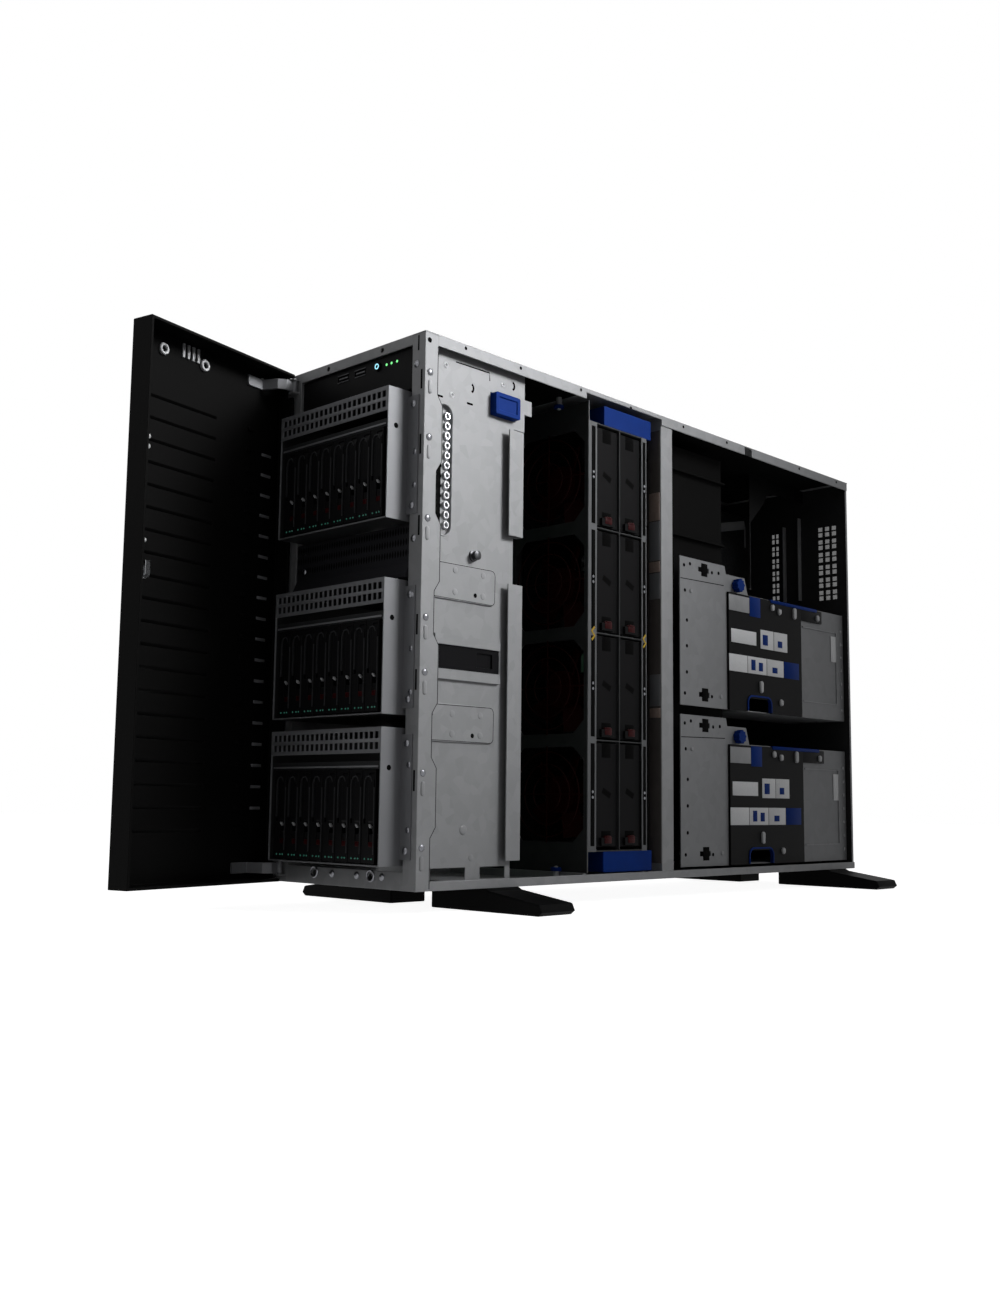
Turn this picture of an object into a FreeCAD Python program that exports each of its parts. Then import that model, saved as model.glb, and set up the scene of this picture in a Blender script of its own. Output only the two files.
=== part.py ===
"""Tower server with its side cover off and its front door open.

Millimetres, +Z up. The front looks along -Y and the open service side along +X. Every piece is drawn in
the chassis frame: x = 0 on the mid-plane, y = 0 on the front plane, z = 0 under the chassis floor.
At the end all pieces move together, so that the origin is the bottom centre of the whole object.
"""
import FreeCAD, Part
import math
import os
import re

import Sketcher

# Driving dimensions, in millimetres unless the name says count, angle or share
SIZES = {
    # chassis box of folded steel sheet
    "width": 174.8,
    "height": 440,
    "depth": 665,
    "sheet": 1.2,
    "play": 0.3,
    "past": 1,
    "base_lip": 7,
    "top_lip": 9.5,
    "thin_lip": 4,
    "front_lip": 14,
    "crown_lip": 9,
    "lip_hole_radius": 3.3,
    "lip_hole_spread": 70,
    "lip_hole_share": 0.6,
    "rail_split": 453,
    "rail_gap": 13,
    "rib_lead": 2,
    "rib_width": 5,
    "column_face": 15.2,
    "column_side": 14.5,
    "bulge": 5.5,
    "bulge_first": 40,
    "bulge_head": 50,
    "bulge_length": 62,
    "bulge_slope": 8.2,
    "post_width": 18,
    "post_depth": 16,
    # rear wall, with the grille counted from the right side and its head from the top
    "grille_side": 38.4,
    "grille_low": 306,
    "grille_head": 44.2,
    "grille_pitch": 8.8,
    "grille_width": 5.8,
    "grille_web": 3.5,
    "strip_side": 101,
    "strip_pitch": 5.6,
    "strip_width": 3.8,
    "card_first": 20,
    "card_pitch": 20.3,
    "card_width": 13,
    "card_inset": 8,
    "cover_lap": 2,
    "cover_rise": 3,
    # outrigger feet, the rear pair counted from the back
    "foot_height": 18.5,
    "foot_inner": 25,
    "foot_reach": 148,
    "foot_depth": 40,
    "foot_tip": 9,
    "foot_toe": 4,
    "foot_nose": 3,
    "foot_shoulder": 4,
    "foot_step": 2,
    "front_foot": 75,
    "rear_foot": 59,
    # drive cages; the gaps between and above them share the height that three cages leave free
    "cage_inset": 17.9,
    "cage_height": 106,
    "cage_proud": 22,
    "cage_depth": 140,
    "cage_sheet": 1,
    "cage_low": 18.5,
    "cage_gap": 10,
    "media_bay": 47,
    "crown_gap": 46.5,
    "ear_width": 12,
    "ear_inset": 5,
    "vent_band": 20,
    "vent_margin": 4.8,
    "vent_web": 1.9,
    "vent_height": 6,
    "vent_rise": 3,
    "vent_bar": 1.6,
    "vent_count": 22,
    "head_rail": 5,
    "rail_set": 1.5,
    "rail_deep": 7.5,
    "guide_width": 8,
    "guide_end": 3,
    # hot-plug drives
    "cage_margin": 11.8,
    "carrier_gap": 0.7,
    "carrier_height": 71.5,
    "carrier_rise": 2.2,
    "bezel_depth": 16,
    "bezel_recess": 1,
    "bezel_rim": 1.8,
    "slit_width": 2.4,
    "slit_margin": 6,
    "drive_length": 100,
    "drive_height": 69.8,
    "drive_gap": 1.3,
    "lever_low": 24,
    "lever_width": 6,
    "lever_edge": 1.2,
    "lever_proud": 0.8,
    "lever_slope": 8,
    "lever_head": 3,
    "button_height": 7,
    "button_gap": 2,
    "button_sunk": 0.5,
    "board": 1.6,
    "plane_low": 2,
    "plane_over": 8,
    "plug_gap": 0.8,
    "plug_width": 5,
    "plug_rise": 8,
    "plug_height": 40,
    # front panels
    "blank_gap": 2,
    "blank_depth": 6,
    "blank_lip": 3,
    "lip_share": 0.07,
    "slope_share": 0.21,
    "blank_end": 8,
    "blank_notch": 18,
    "notch_edge": 4,
    "panel_back": 3,
    "panel_depth": 9,
    "panel_gap": 3,
    "button_radius": 3.6,
    "button_side": 27,
    "button_drop": 7,
    "button_proud": 1.6,
    "port_side": 4,
    "port_spread": 22,
    "port_width": 14,
    "port_height": 6,
    "port_deep": 1.2,
    # drive bay side wall, inset from the right side; head, trough top, latch and hooks count from the top
    "wall_side": 7.4,
    "wall_rear": 111,
    "wall_head": 56,
    "wall_head_rear": 124,
    "tab_rear": 133,
    "tab_rise": 16,
    "tab_height": 13,
    "slot_front": 20,
    "slot_rear": 94,
    "slot_low": 172.5,
    "slot_high": 192,
    "slot_rail": 8,
    "rail_proud": 3,
    "floor_slot_inset": 1.5,
    "floor_slot_length": 38,
    "floor_slot_gap": 16.5,
    "floor_slot_end": 6,
    "floor_slot_high": 16.5,
    "bracket_front": 16,
    "bracket_length": 73,
    "bracket_height": 30,
    "bracket_low": 115,
    "bracket_high": 228.5,
    "bracket_sheet": 1.5,
    "bracket_corner": 5,
    "trough_front": 20.5,
    "trough_width": 17,
    "trough_low": 280,
    "trough_high": 53,
    "trough_deep": 3,
    "hook_width": 17,
    "hook_rear": 116.5,
    "hook_low_start": 21,
    "hook_low_end": 191,
    "hook_high_start": 150,
    "hook_high_end": 59,
    "latch_front": 82,
    "latch_length": 30,
    "latch_low": 49,
    "latch_height": 19,
    "latch_proud": 6.5,
    "latch_root": 4,
    "latch_corner": 2,
    "latch_margin": 4,
    "latch_dish": 1,
    # fan cage and fans, placed from the right side, with the roof counted from the top
    "fan_bay_front": 198,
    "fan_bay_rear": 310,
    "fan_front": 205,
    "fan_rear": 290,
    "fan_flange": 12,
    "fan_rear_flange": 7.6,
    "fan_floor": 26,
    "fan_roof": 28,
    "fan_side": 3.4,
    "fan_axis": 47,
    "fan_left": 49,
    "row_gap": 4,
    "row_floor_gap": 2.8,
    "row_roof_gap": 2,
    "opening_corner": 12,
    "fan_width": 90,
    "fan_depth": 31,
    "fan_pitch": 33.6,
    "bore_side": 3,
    "bore_rim": 4,
    "bore_corner": 14,
    "hub_radius": 17,
    "hub_start": 3,
    "tip_gap": 1,
    "hub_length": 22,
    "motor_depth": 4,
    "motor_corner": 9,
    "strut_width": 4,
    "pull_proud": 2.4,
    "pull_width": 18,
    "pull_height": 7,
    "blade_count": 5,
    "blade_sheet": 1.6,
    "blade_angle": 36,
    "blade_root": 16,
    "blade_tip": 24,
    "blade_seat_share": 0.8,
    "handle_front": 227,
    "handle_length": 70,
    "handle_height": 18,
    "handle_depth": 18,
    "handle_wall": 9,
    "handle_back": 3,
    "handle_face": 3,
    "grip_height": 9,
    # system board and air baffle; upper edges count from the top, the rear edge from the back
    "standoff": 1.2,
    "board_front": 314,
    "board_rear": 10,
    "board_low": 10,
    "board_step": 140,
    "board_high": 10,
    "pad_size": 8,
    "pad_inset": 6,
    "pad_back": 20,
    "memory_rear": 472,
    "memory_gap": 1,
    "memory_length": 133,
    "memory_height": 31,
    "memory_near": 56,
    "memory_pitch": 8,
    "memory_sheet": 3.6,
    "cooler_low": 112,
    "cooler_high": 110,
    "cooler_front": 20,
    "cooler_length": 92,
    "cooler_half": 38,
    "cooler_foot": 12,
    "cooler_height": 62,
    "fin_sheet": 1.4,
    "baffle_side": 27.4,
    "baffle_front": 301,
    "baffle_rear": 446,
    "baffle_sheet": 2,
    "baffle_low": 14,
    "baffle_high": 14,
    "baffle_lead": 2,
    "baffle_rib": 5,
    "baffle_rib_first": 26,
    "baffle_rib_second": 92,
    # riser cages, with their rear edge counted from the back
    "riser_low": 9,
    "riser_high": 164,
    "riser_height": 124,
    "riser_front": 348,
    "riser_rear": 4,
    "riser_tab": 22,
    "riser_plate": 79,
    "riser_edge": 3,
    "riser_shoulder": 8,
    "shoulder_front": 34,
    "shoulder_rear": 40,
    "panel_length": 140,
    "panel_proud": 2.5,
    "riser_board_front": 452,
    "riser_board_low": 12,
    "riser_board_head": 14,
    "riser_board_edge": 6,
    "riser_shelf": 74,
    "socket_height": 9,
    "socket_width": 8,
    "socket_lead": 3,
    "socket_inset": 10,
    "cross_front": 40,
    "cross_reach": 9,
    "cross_half": 4,
    "cross_arm": 2.5,
    "cross_tall": 6,
    "cross_low": 12,
    "cross_share": 0.58,
    "notch_front": 34,
    "notch_length": 45,
    "notch_height": 14,
    "press_deep": 0.5,
    "press_gap": 6,
    "press_rear": 16,
    "press_low": 18,
    "press_head": 24,
    "knob_front": 17,
    "knob_rise": 4,
    "knob_radius": 7,
    "knob_length": 7,
    "knob_tooth": 1,
    # power supply, hung from the top and clear of the board in front of it
    "psu_width": 40,
    "psu_height": 86,
    "psu_low": 110,
    "psu_clear": 3,
    "psu_side": 2,
    "psu_face": 1,
    "psu_grip": 22,
    "inlet_side": 8,
    "inlet_width": 22,
    "inlet_low": 6,
    "inlet_height": 14,
    "grip_side": 16,
    "grip_width": 6,
    "grip_low": 30,
    "grip_length": 44,
    "grip_sheet": 4,
    # front door; hinge axis, louvres and lock count from the door's own edges
    "door_gap": 4,
    "door_depth": 23.5,
    "door_wall": 2.5,
    "door_edge": 3,
    "door_angle": 78,
    "door_step": 7.4,
    "door_throat": 9.2,
    "door_lean": 1,
    "pivot_side": 9.1,
    "pivot_front": 3,
    "pin_radius": 1.6,
    "pin_play": 0.08,
    "hinge_inset": 7,
    "hinge_gap": 0.5,
    "hinge_tab": 1.5,
    "hinge_tab_half": 3.7,
    "hinge_tab_front": 3.5,
    "notch_lead": 2,
    "notch_room": 5,
    "arm_height": 9,
    "arm_sheet": 2,
    "arm_near": 9,
    "arm_far": 15,
    "arm_crank": 6,
    "arm_seat": 19,
    "arm_reach": 36,
    "knuckle": 1,
    "louvre_head": 56,
    "louvre_height": 2.4,
    "louvre_shade": 1,
    "louvre_width": 82,
    "louvre_side": 12.4,
    "louvre_count": 20,
    "louvre_first": 42,
    "door_tab_side": 35,
    "door_tab_width": 8,
    "door_tab_height": 3,
    "door_tab_proud": 2,
    "lock_side": 12,
    "lock_height": 241,
    "lock_radius": 5.5,
    "lock_inset": 0.5,
    "lock_length": 14.5,
    "cam_width": 5,
    "cam_sheet": 2.5,
    "cam_low": 3,
    "cam_high": 8,
}

doc = FreeCAD.newDocument("tower_server")
sheet = doc.addObject("Spreadsheet::Sheet", "sizes")
for row, (alias, value) in enumerate(SIZES.items(), 1):
    sheet.set(f"A{row}", alias)
    sheet.set(f"B{row}", str(value))
    sheet.setAlias(f"B{row}", alias)
ORIGIN_CELLS = {"origin_y": f"B{len(SIZES) + 1}", "origin_z": f"B{len(SIZES) + 2}"}
for alias, cell in ORIGIN_CELLS.items():
    sheet.set(cell, "0")
    sheet.setAlias(cell, alias)
doc.recompute()

SMALLER_OF = "min"


def formula(text):
    """The words in a formula are aliases of the sheet, apart from the one that picks the smaller value."""
    def alias_of(found):
        word = found.group(0)
        return word if word == SMALLER_OF else "sizes." + word
    return re.sub(r"[a-z][a-z_]*", alias_of, str(text))


def bind(thing, **formulas):
    for name, text in formulas.items():
        thing.setExpression(name, formula(text))
    return thing


def place(thing, x, y, z):
    for axis, text in zip("xyz", (x, y, z)):
        thing.setExpression(f"Placement.Base.{axis}", formula(text))
    return thing


def span(low, high):
    return f"({high}) - ({low})"


def block(name, x, y, z):
    """A block between its low and high faces, given as pairs of formulas."""
    solid = doc.addObject("Part::Box", name)
    bind(solid, Length=span(*x), Width=span(*y), Height=span(*z))
    return place(solid, x[0], y[0], z[0])


TURN_TO = {
    "x": FreeCAD.Rotation(FreeCAD.Vector(0, 1, 0), 90),
    "y": FreeCAD.Rotation(FreeCAD.Vector(1, 0, 0), -90),
    "z": FreeCAD.Rotation(),
}


def rod(name, axis, x, y, z, radius, length):
    """A round bar that starts at x, y, z and runs along one axis."""
    solid = doc.addObject("Part::Cylinder", name)
    solid.Placement = FreeCAD.Placement(FreeCAD.Vector(), TURN_TO[axis])
    bind(solid, Radius=radius, Height=length)
    return place(solid, x, y, z)


def fuse(name, *pieces):
    joined = doc.addObject("Part::MultiFuse", name)
    joined.Shapes = list(pieces)
    joined.Refine = True
    return joined


def cut(name, base, *tools):
    result = doc.addObject("Part::Cut", name)
    result.Base = base
    result.Tool = tools[0] if len(tools) == 1 else group(name + "_tools", *tools)
    result.Refine = True
    return result


def group(name, *pieces):
    compound = doc.addObject("Part::Compound", name)
    compound.Links = list(pieces)
    return compound


def moved(name, piece, x="0", y="0", z="0"):
    """The same piece again at another place."""
    return place(group(name, piece), x, y, z)


def mirrored(name, piece):
    """The same piece on the other side of the mid-plane."""
    twin = doc.addObject("Part::Mirroring", name)
    twin.Source = piece
    twin.Normal = FreeCAD.Vector(1, 0, 0)
    return twin


def origin_part(body, role):
    return next(feature for feature in body.Origin.OriginFeatures if feature.Role == role)


def new_sketch(body, name, plane, offset="0"):
    sketch = body.newObject("Sketcher::SketchObject", name)
    sketch.AttachmentSupport = (origin_part(body, plane), [""])
    sketch.MapMode = "FlatFace"
    sketch.setExpression("AttachmentOffset.Base.z", formula(offset))
    return sketch


def draw_polygon(sketch, points):
    """A closed outline whose corners are held to the sketch origin by formulas."""
    corners = [FreeCAD.Vector(index, index * index, 0) for index in range(len(points))]
    for index, corner in enumerate(corners):
        sketch.addGeometry(Part.LineSegment(corner, corners[(index + 1) % len(corners)]), False)
    for index in range(len(points)):
        following = (index + 1) % len(points)
        sketch.addConstraint(Sketcher.Constraint("Coincident", index, 2, following, 1))
    for index, (across, up) in enumerate(points):
        for kind, text, start in (("DistanceX", across, index), ("DistanceY", up, index * index)):
            number = sketch.addConstraint(Sketcher.Constraint(kind, -1, 1, index, 1, float(start)))
            sketch.setExpression(f"Constraints[{number}]", formula(text))


def round_outline(radius, flats, across="0", up="0"):
    """Corners of a many-sided round rim about a centre."""
    turns = [2 * math.pi * step / flats for step in range(flats)]
    return [
        (f"{across} + {radius}*{math.cos(turn):.5f}", f"{up} + {radius}*{math.sin(turn):.5f}")
        for turn in turns
    ]


PLANES = {"x": ("YZ_Plane", 1), "y": ("XZ_Plane", -1), "z": ("XY_Plane", 1)}


def prism(name, axis, points, low, high):
    """An outline drawn across one axis and padded along it from low to high."""
    plane, sense = PLANES[axis]
    body = doc.addObject("PartDesign::Body", name)
    sketch = new_sketch(body, name + "_outline", plane, low if sense > 0 else f"-({high})")
    draw_polygon(sketch, points)
    pad = body.newObject("PartDesign::Pad", name + "_pad")
    pad.Profile = sketch
    bind(pad, Length=span(low, high))
    return body


def rounded_prism(name, axis, points, low, high, radius):
    """A padded outline with its standing edges rounded."""
    body = prism(name, axis, points, low, high)
    doc.recompute()
    pad = body.Tip
    along = {"x": FreeCAD.Vector(1, 0, 0), "y": FreeCAD.Vector(0, 1, 0), "z": FreeCAD.Vector(0, 0, 1)}[axis]
    standing = [
        f"Edge{number}"
        for number, edge in enumerate(pad.Shape.Edges, 1)
        if abs(edge.tangentAt(edge.FirstParameter).dot(along)) > 0.99
    ]
    fillet = body.newObject("PartDesign::Fillet", name + "_fillet")
    fillet.Base = (pad, standing)
    bind(fillet, Radius=radius)
    return body


def rectangle(across, up):
    return [(across[0], up[0]), (across[1], up[0]), (across[1], up[1]), (across[0], up[1])]


def slot_shape(name, y, z, x):
    """A round-ended bar standing along z, for a pressed trough or a long hole."""
    radius = f"({span(*y)})/2"
    middle = f"({y[0]} + {y[1]})/2"
    straight = (f"{z[0]} + {radius}", f"{z[1]} - {radius}")
    ends = [
        rod(f"{name}_end_{index}", "x", x[0], middle, level, radius, span(*x))
        for index, level in enumerate(straight)
    ]
    return fuse(name, block(name + "_middle", x, y, straight), *ends)


NODES = []


def node(label, *pieces, at=("0", "0", "0"), turn=None):
    """One sub-part with its own file: the pieces, carried to their place in the object."""
    part = group("node_" + label, *pieces)
    part.Label = label
    place(part, at[0], f"{at[1]} - origin_y", f"{at[2]} - origin_z")
    if turn:
        bind(part, **{"Placement.Rotation.Angle": turn})
    NODES.append(part)
    return part


LEFT = "-width/2"
RIGHT = "width/2"
INNER_LEFT = "-width/2 + sheet"
INNER_RIGHT = "width/2 - sheet"
COLUMN = "width/2 - column_face"
CEILING = "height - sheet"
UPRIGHT = ("sheet", CEILING)
ACROSS = (LEFT, RIGHT)
BETWEEN_COLUMNS = (f"-({COLUMN})", COLUMN)
WALL = "(width/2 - wall_side)"
FAN_SIDE = "(width/2 - fan_side)"
FAN_ROOF = "(height - fan_roof)"
FAN_LOW = "(fan_floor - handle_height)"
FAN_HIGH = f"({FAN_ROOF} + sheet + handle_height)"
LIP_HOLE_FLAT_COUNT = 16


def lip_holes(name, level, radius):
    """Two punched round holes through a front lip."""
    places = [f"{side}*lip_hole_spread/2" for side in (-1, 1)]
    rims = [round_outline(radius, LIP_HOLE_FLAT_COUNT, place_x, level) for place_x in places]
    return [prism(f"{name}_{index}", "y", rim, "-past", "sheet + past") for index, rim in enumerate(rims)]


def chassis_floor():
    """Floor sheet with the folded side lip, the front lip and two guide ribs for the fan cage."""
    floor = block("floor", ACROSS, ("0", "depth"), ("0", "sheet"))
    lip = block("floor_lip", (INNER_RIGHT, RIGHT), ("column_side", "depth"), ("sheet", "base_lip"))
    front = block("floor_front", BETWEEN_COLUMNS, ("0", "sheet"), ("sheet", "front_lip"))
    ribs = [
        block(f"floor_rib_{index}", (f"-{FAN_SIDE}", WALL), (y, f"{y} + rib_width"),
              ("sheet", f"{FAN_LOW} - play"))
        for index, y in enumerate(("fan_front - rib_lead", "fan_rear - rib_lead"))
    ]
    holes = lip_holes("floor_hole", "front_lip*lip_hole_share", "lip_hole_radius")
    node("base_plate", cut("base_plate_cut", fuse("base_plate_sheet", floor, lip, front, *ribs), *holes))


PIVOT_X = "(pivot_side - width/2)"
ARM_LOW = "hinge_inset"
ARM_HIGH = "height - hinge_inset - arm_height"


def hinge_tabs(name, low):
    """A pair of tabs on the left column with the hinge pin between them."""
    x = (f"{PIVOT_X} - hinge_tab_half", f"{PIVOT_X} + hinge_tab_half")
    y = ("-pivot_front - hinge_tab_front", "0")
    high = f"{low} + arm_height"
    under = f"{low} - hinge_gap - hinge_tab"
    over = f"{high} + hinge_gap"
    return [
        block(name + "_under", x, y, (under, f"{under} + hinge_tab")),
        block(name + "_over", x, y, (over, f"{over} + hinge_tab")),
        rod(name + "_pin", "z", PIVOT_X, "-pivot_front", under, "pin_radius",
            "arm_height + 2*hinge_gap + 2*hinge_tab"),
    ]


def left_wall():
    """Closed side of the chassis, folded round into the left front column that carries the door hinge."""
    plate = block("left_plate", (LEFT, INNER_LEFT), ("0", "depth"), UPRIGHT)
    face = block("left_face", (INNER_LEFT, f"-({COLUMN})"), ("0", "sheet"), UPRIGHT)
    fold = block("left_fold", (f"-({COLUMN}) - sheet", f"-({COLUMN})"), ("sheet", "column_side"), UPRIGHT)
    tabs = hinge_tabs("low_hinge", ARM_LOW) + hinge_tabs("high_hinge", ARM_HIGH)
    node("left_wall", fuse("left_wall_sheet", plate, face, fold, *tabs))


def chassis_top():
    """Top sheet with its stepped side lip, thin over the fan bay so that the fan cage passes under it."""
    plate = block("top_sheet", ACROSS, ("0", "depth"), (CEILING, "height"))
    front = block("top_front", BETWEEN_COLUMNS, ("0", "sheet"), ("height - crown_lip", CEILING))
    deep = "height - top_lip"
    runs = [
        ("column_side", "fan_bay_front", deep),
        ("fan_bay_front", "fan_bay_rear", "height - thin_lip"),
        ("fan_bay_rear", "rail_split", deep),
        ("rail_split + rail_gap", "depth - sheet", deep),
    ]
    lips = [
        block(f"top_lip_{index}", (INNER_RIGHT, RIGHT), (start, end), (low, CEILING))
        for index, (start, end, low) in enumerate(runs)
    ]
    holes = lip_holes("top_hole", "height - crown_lip/2", "lip_hole_radius*lip_hole_share")
    node("top_plate", cut("top_plate_cut", fuse("top_plate_sheet", plate, front, *lips), *holes))


BULGES = 4


def right_column():
    """Front column on the open side: face, inner fold and a side flange with a waved rear edge."""
    face = block("column_front", (COLUMN, RIGHT), ("0", "sheet"), UPRIGHT)
    fold = block("column_fold", (COLUMN, f"{COLUMN} + sheet"), ("sheet", "column_side"), UPRIGHT)
    wide = "column_side + bulge"
    edge = [("sheet", "sheet"), ("column_side", "sheet")]
    pitch = f"((height - bulge_first - bulge_length - bulge_head)/{BULGES - 1})"
    for index in range(BULGES):
        low = f"bulge_first + {index}*{pitch}"
        edge += [
            ("column_side", low),
            (wide, f"{low} + bulge_slope"),
            (wide, f"{low} + bulge_length - bulge_slope"),
            ("column_side", f"{low} + bulge_length"),
        ]
    edge += [("column_side", CEILING), ("sheet", CEILING)]
    flange = prism("column_flange", "x", edge, INNER_RIGHT, RIGHT)
    node("front_column", fuse("front_column_sheet", face, fold, flange))


def centre_post():
    """Channel post between the fan bay and the system bay."""
    front = "fan_bay_rear"
    rear = "fan_bay_rear + post_width"
    inside = f"{INNER_RIGHT} - post_depth"
    face = block("post_face", (f"{INNER_RIGHT} - sheet", INNER_RIGHT), (front, rear), UPRIGHT)
    folds = [
        block(f"post_fold_{index}", (inside, f"{INNER_RIGHT} - sheet"), (y, f"{y} + sheet"), UPRIGHT)
        for index, y in enumerate((front, f"{rear} - sheet"))
    ]
    node("centre_post", fuse("centre_post_sheet", face, *folds))


GRILLE_COLUMNS = 3
STRIP_COLUMNS = 2
GRILLE_ROWS = 6
CARD_SLOTS = 4
PSU_LEFT = f"{INNER_LEFT} + psu_side"
PSU_LOW = "(height - psu_low)"
PSU_FRONT = "(memory_rear + psu_clear)"
RISER_REAR = "(depth - riser_rear)"


def vent_grid(name, columns, first_x, pitch, width, y):
    """Upright rows of punched vents that fill the height between the risers and the top."""
    row_pitch = f"((height - grille_low - grille_head)/{GRILLE_ROWS})"
    vents = []
    for column in range(columns):
        for level in range(GRILLE_ROWS):
            x = f"{first_x} + {column}*{pitch}"
            z = f"grille_low + {level}*{row_pitch}"
            vents.append(block(f"{name}_{column}_{level}", (x, f"{x} + {width}"), y,
                               (z, f"{z} + {row_pitch} - grille_web")))
    return vents


def rear_wall():
    """Rear sheet with the card slots and their covers, the vent grilles and the power supply bay."""
    through = ("depth - sheet - past", "depth + past")
    plate = block("rear_sheet", (INNER_LEFT, INNER_RIGHT), ("depth - sheet", "depth"), UPRIGHT)
    flange = block("rear_flange", (f"{INNER_RIGHT} - sheet", INNER_RIGHT),
                   (f"{RISER_REAR} + 2*play", "depth - sheet"), UPRIGHT)
    shelf = block("psu_shelf", (INNER_LEFT, f"{PSU_LEFT} + psu_width"), (PSU_FRONT, "depth - sheet"),
                  (f"{PSU_LOW} - play - sheet", f"{PSU_LOW} - play"))
    tools = [
        block("psu_hole", (f"{PSU_LEFT} - play", f"{PSU_LEFT} + psu_width + play"), through,
              (f"{PSU_LOW} - play", f"{PSU_LOW} + psu_height + play"))
    ]
    tools += vent_grid("grille", GRILLE_COLUMNS, "width/2 - grille_side", "grille_pitch", "grille_width",
                       through)
    tools += vent_grid("strip", STRIP_COLUMNS, "width/2 - strip_side", "strip_pitch", "strip_width",
                       through)
    covers = []
    for bank, low in enumerate(("riser_low", "riser_high")):
        z = (f"{low} + card_inset", f"{low} + riser_height - card_inset")
        for slot in range(CARD_SLOTS):
            x = f"{WALL} - card_first - {slot}*card_pitch"
            tools.append(block(f"card_slot_{bank}_{slot}", (x, f"{x} + card_width"), through, z))
            covers.append(block(f"slot_cover_{bank}_{slot}",
                                (f"{x} - cover_lap", f"{x} + card_width + cover_lap"),
                                ("depth - 2*sheet", "depth - sheet"),
                                (f"{z[0]} - cover_rise", f"{z[1]} + cover_rise")))
    node("rear_wall", cut("rear_wall_cut", fuse("rear_wall_sheet", plate, flange, shelf), *tools), *covers)


def bracket(name, low):
    """Riveted patch with rounded corners on the outside of the bay wall."""
    outline = rectangle(("bracket_front", "bracket_front + bracket_length"),
                        (low, f"{low} + bracket_height"))
    return rounded_prism(name, "x", outline, WALL, f"{WALL} + bracket_sheet", "bracket_corner")


def hook_strip(name, low, high):
    """Strip that stands out from the rear edge of the wall and turns forward over it."""
    z = (low, high)
    return [
        block(name + "_root", (f"{WALL} - sheet", WALL), ("wall_rear", "hook_rear"), z),
        block(name + "_web", (WALL, INNER_RIGHT), ("hook_rear - sheet", "hook_rear"), z),
        block(name + "_lip", (f"{INNER_RIGHT} - sheet", INNER_RIGHT),
              ("hook_rear - hook_width", "hook_rear"), z),
    ]


LATCH_LOW = "(height - latch_low)"


def bay_wall():
    """Right wall of the drive bay: sheet with a pressed trough, a media slot, patches and hook strips."""
    head = "height - wall_head"
    edge = [
        ("sheet", "sheet"),
        ("wall_rear", "sheet"),
        ("wall_rear", head),
        ("wall_head_rear", head),
        ("wall_head_rear", f"{head} + tab_rise"),
        ("tab_rear", f"{head} + tab_rise"),
        ("tab_rear", f"{head} + tab_rise + tab_height"),
        ("wall_head_rear", f"{head} + tab_rise + tab_height"),
        ("wall_head_rear", CEILING),
        ("sheet", CEILING),
    ]
    plate = prism("bay_plate", "x", edge, f"{WALL} - sheet", WALL)
    trough_y = ("trough_front", "trough_front + trough_width")
    trough_z = ("trough_low", "height - trough_high")
    pressed = block(
        "trough_back",
        (f"{WALL} - trough_deep - sheet", f"{WALL} - sheet"),
        (f"{trough_y[0]} - sheet", f"{trough_y[1]} + sheet"),
        (f"{trough_z[0]} - sheet", f"{trough_z[1]} + sheet"),
    )
    hollow = slot_shape("trough_hollow", trough_y, trough_z, (f"{WALL} - trough_deep", f"{WALL} + past"))
    through = (f"{WALL} - sheet - past", f"{WALL} + past")
    media = block("media_slot", through, ("slot_front", "slot_rear"), ("slot_low", "slot_high"))
    window = block("latch_window", through, ("latch_front - play", "latch_front + latch_length + play"),
                   (f"{LATCH_LOW} - play", f"{LATCH_LOW} + latch_height + play"))
    first = "slot_front + floor_slot_inset"
    second = f"{first} + floor_slot_length + floor_slot_gap"
    floor_z = ("base_lip", "floor_slot_high")
    floor_slots = [
        block("floor_slot_front", through, (first, f"{first} + floor_slot_length"), floor_z),
        block("floor_slot_rear", through, (second, "wall_rear - floor_slot_end"), floor_z),
    ]
    rails = [
        block(f"media_rail_{index}", (WALL, f"{WALL} + rail_proud"), ("slot_front", "slot_rear"),
              (z, f"{z} + slot_rail"))
        for index, z in enumerate(("slot_low - slot_rail", "slot_high"))
    ]
    patches = [bracket("low_patch", "bracket_low"), bracket("high_patch", "bracket_high")]
    hooks = hook_strip("low_hook", "hook_low_start", "height - hook_low_end")
    hooks += hook_strip("high_hook", "height - hook_high_start", "height - hook_high_end")
    solid = fuse("bay_wall_sheet", plate, pressed, *rails, *patches, *hooks)
    node("bay_wall", cut("bay_wall_cut", solid, hollow, media, window, *floor_slots))


def side_latch():
    """Blue push latch in the window of the bay wall."""
    y = ("latch_front", "latch_front + latch_length")
    z = (LATCH_LOW, f"{LATCH_LOW} + latch_height")
    face = f"{WALL} + latch_proud"
    smooth = rounded_prism("latch_cap", "x", rectangle(y, z), f"{WALL} - latch_root", face, "latch_corner")
    pad = block("latch_pad", (f"{face} - latch_dish", f"{face} + past"),
                (f"{y[0]} + latch_margin", f"{y[1]} - latch_margin"),
                (f"{z[0]} + latch_margin", f"{z[1]} - latch_margin"))
    node("side_latch", cut("latch_dished", smooth, pad))


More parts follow.
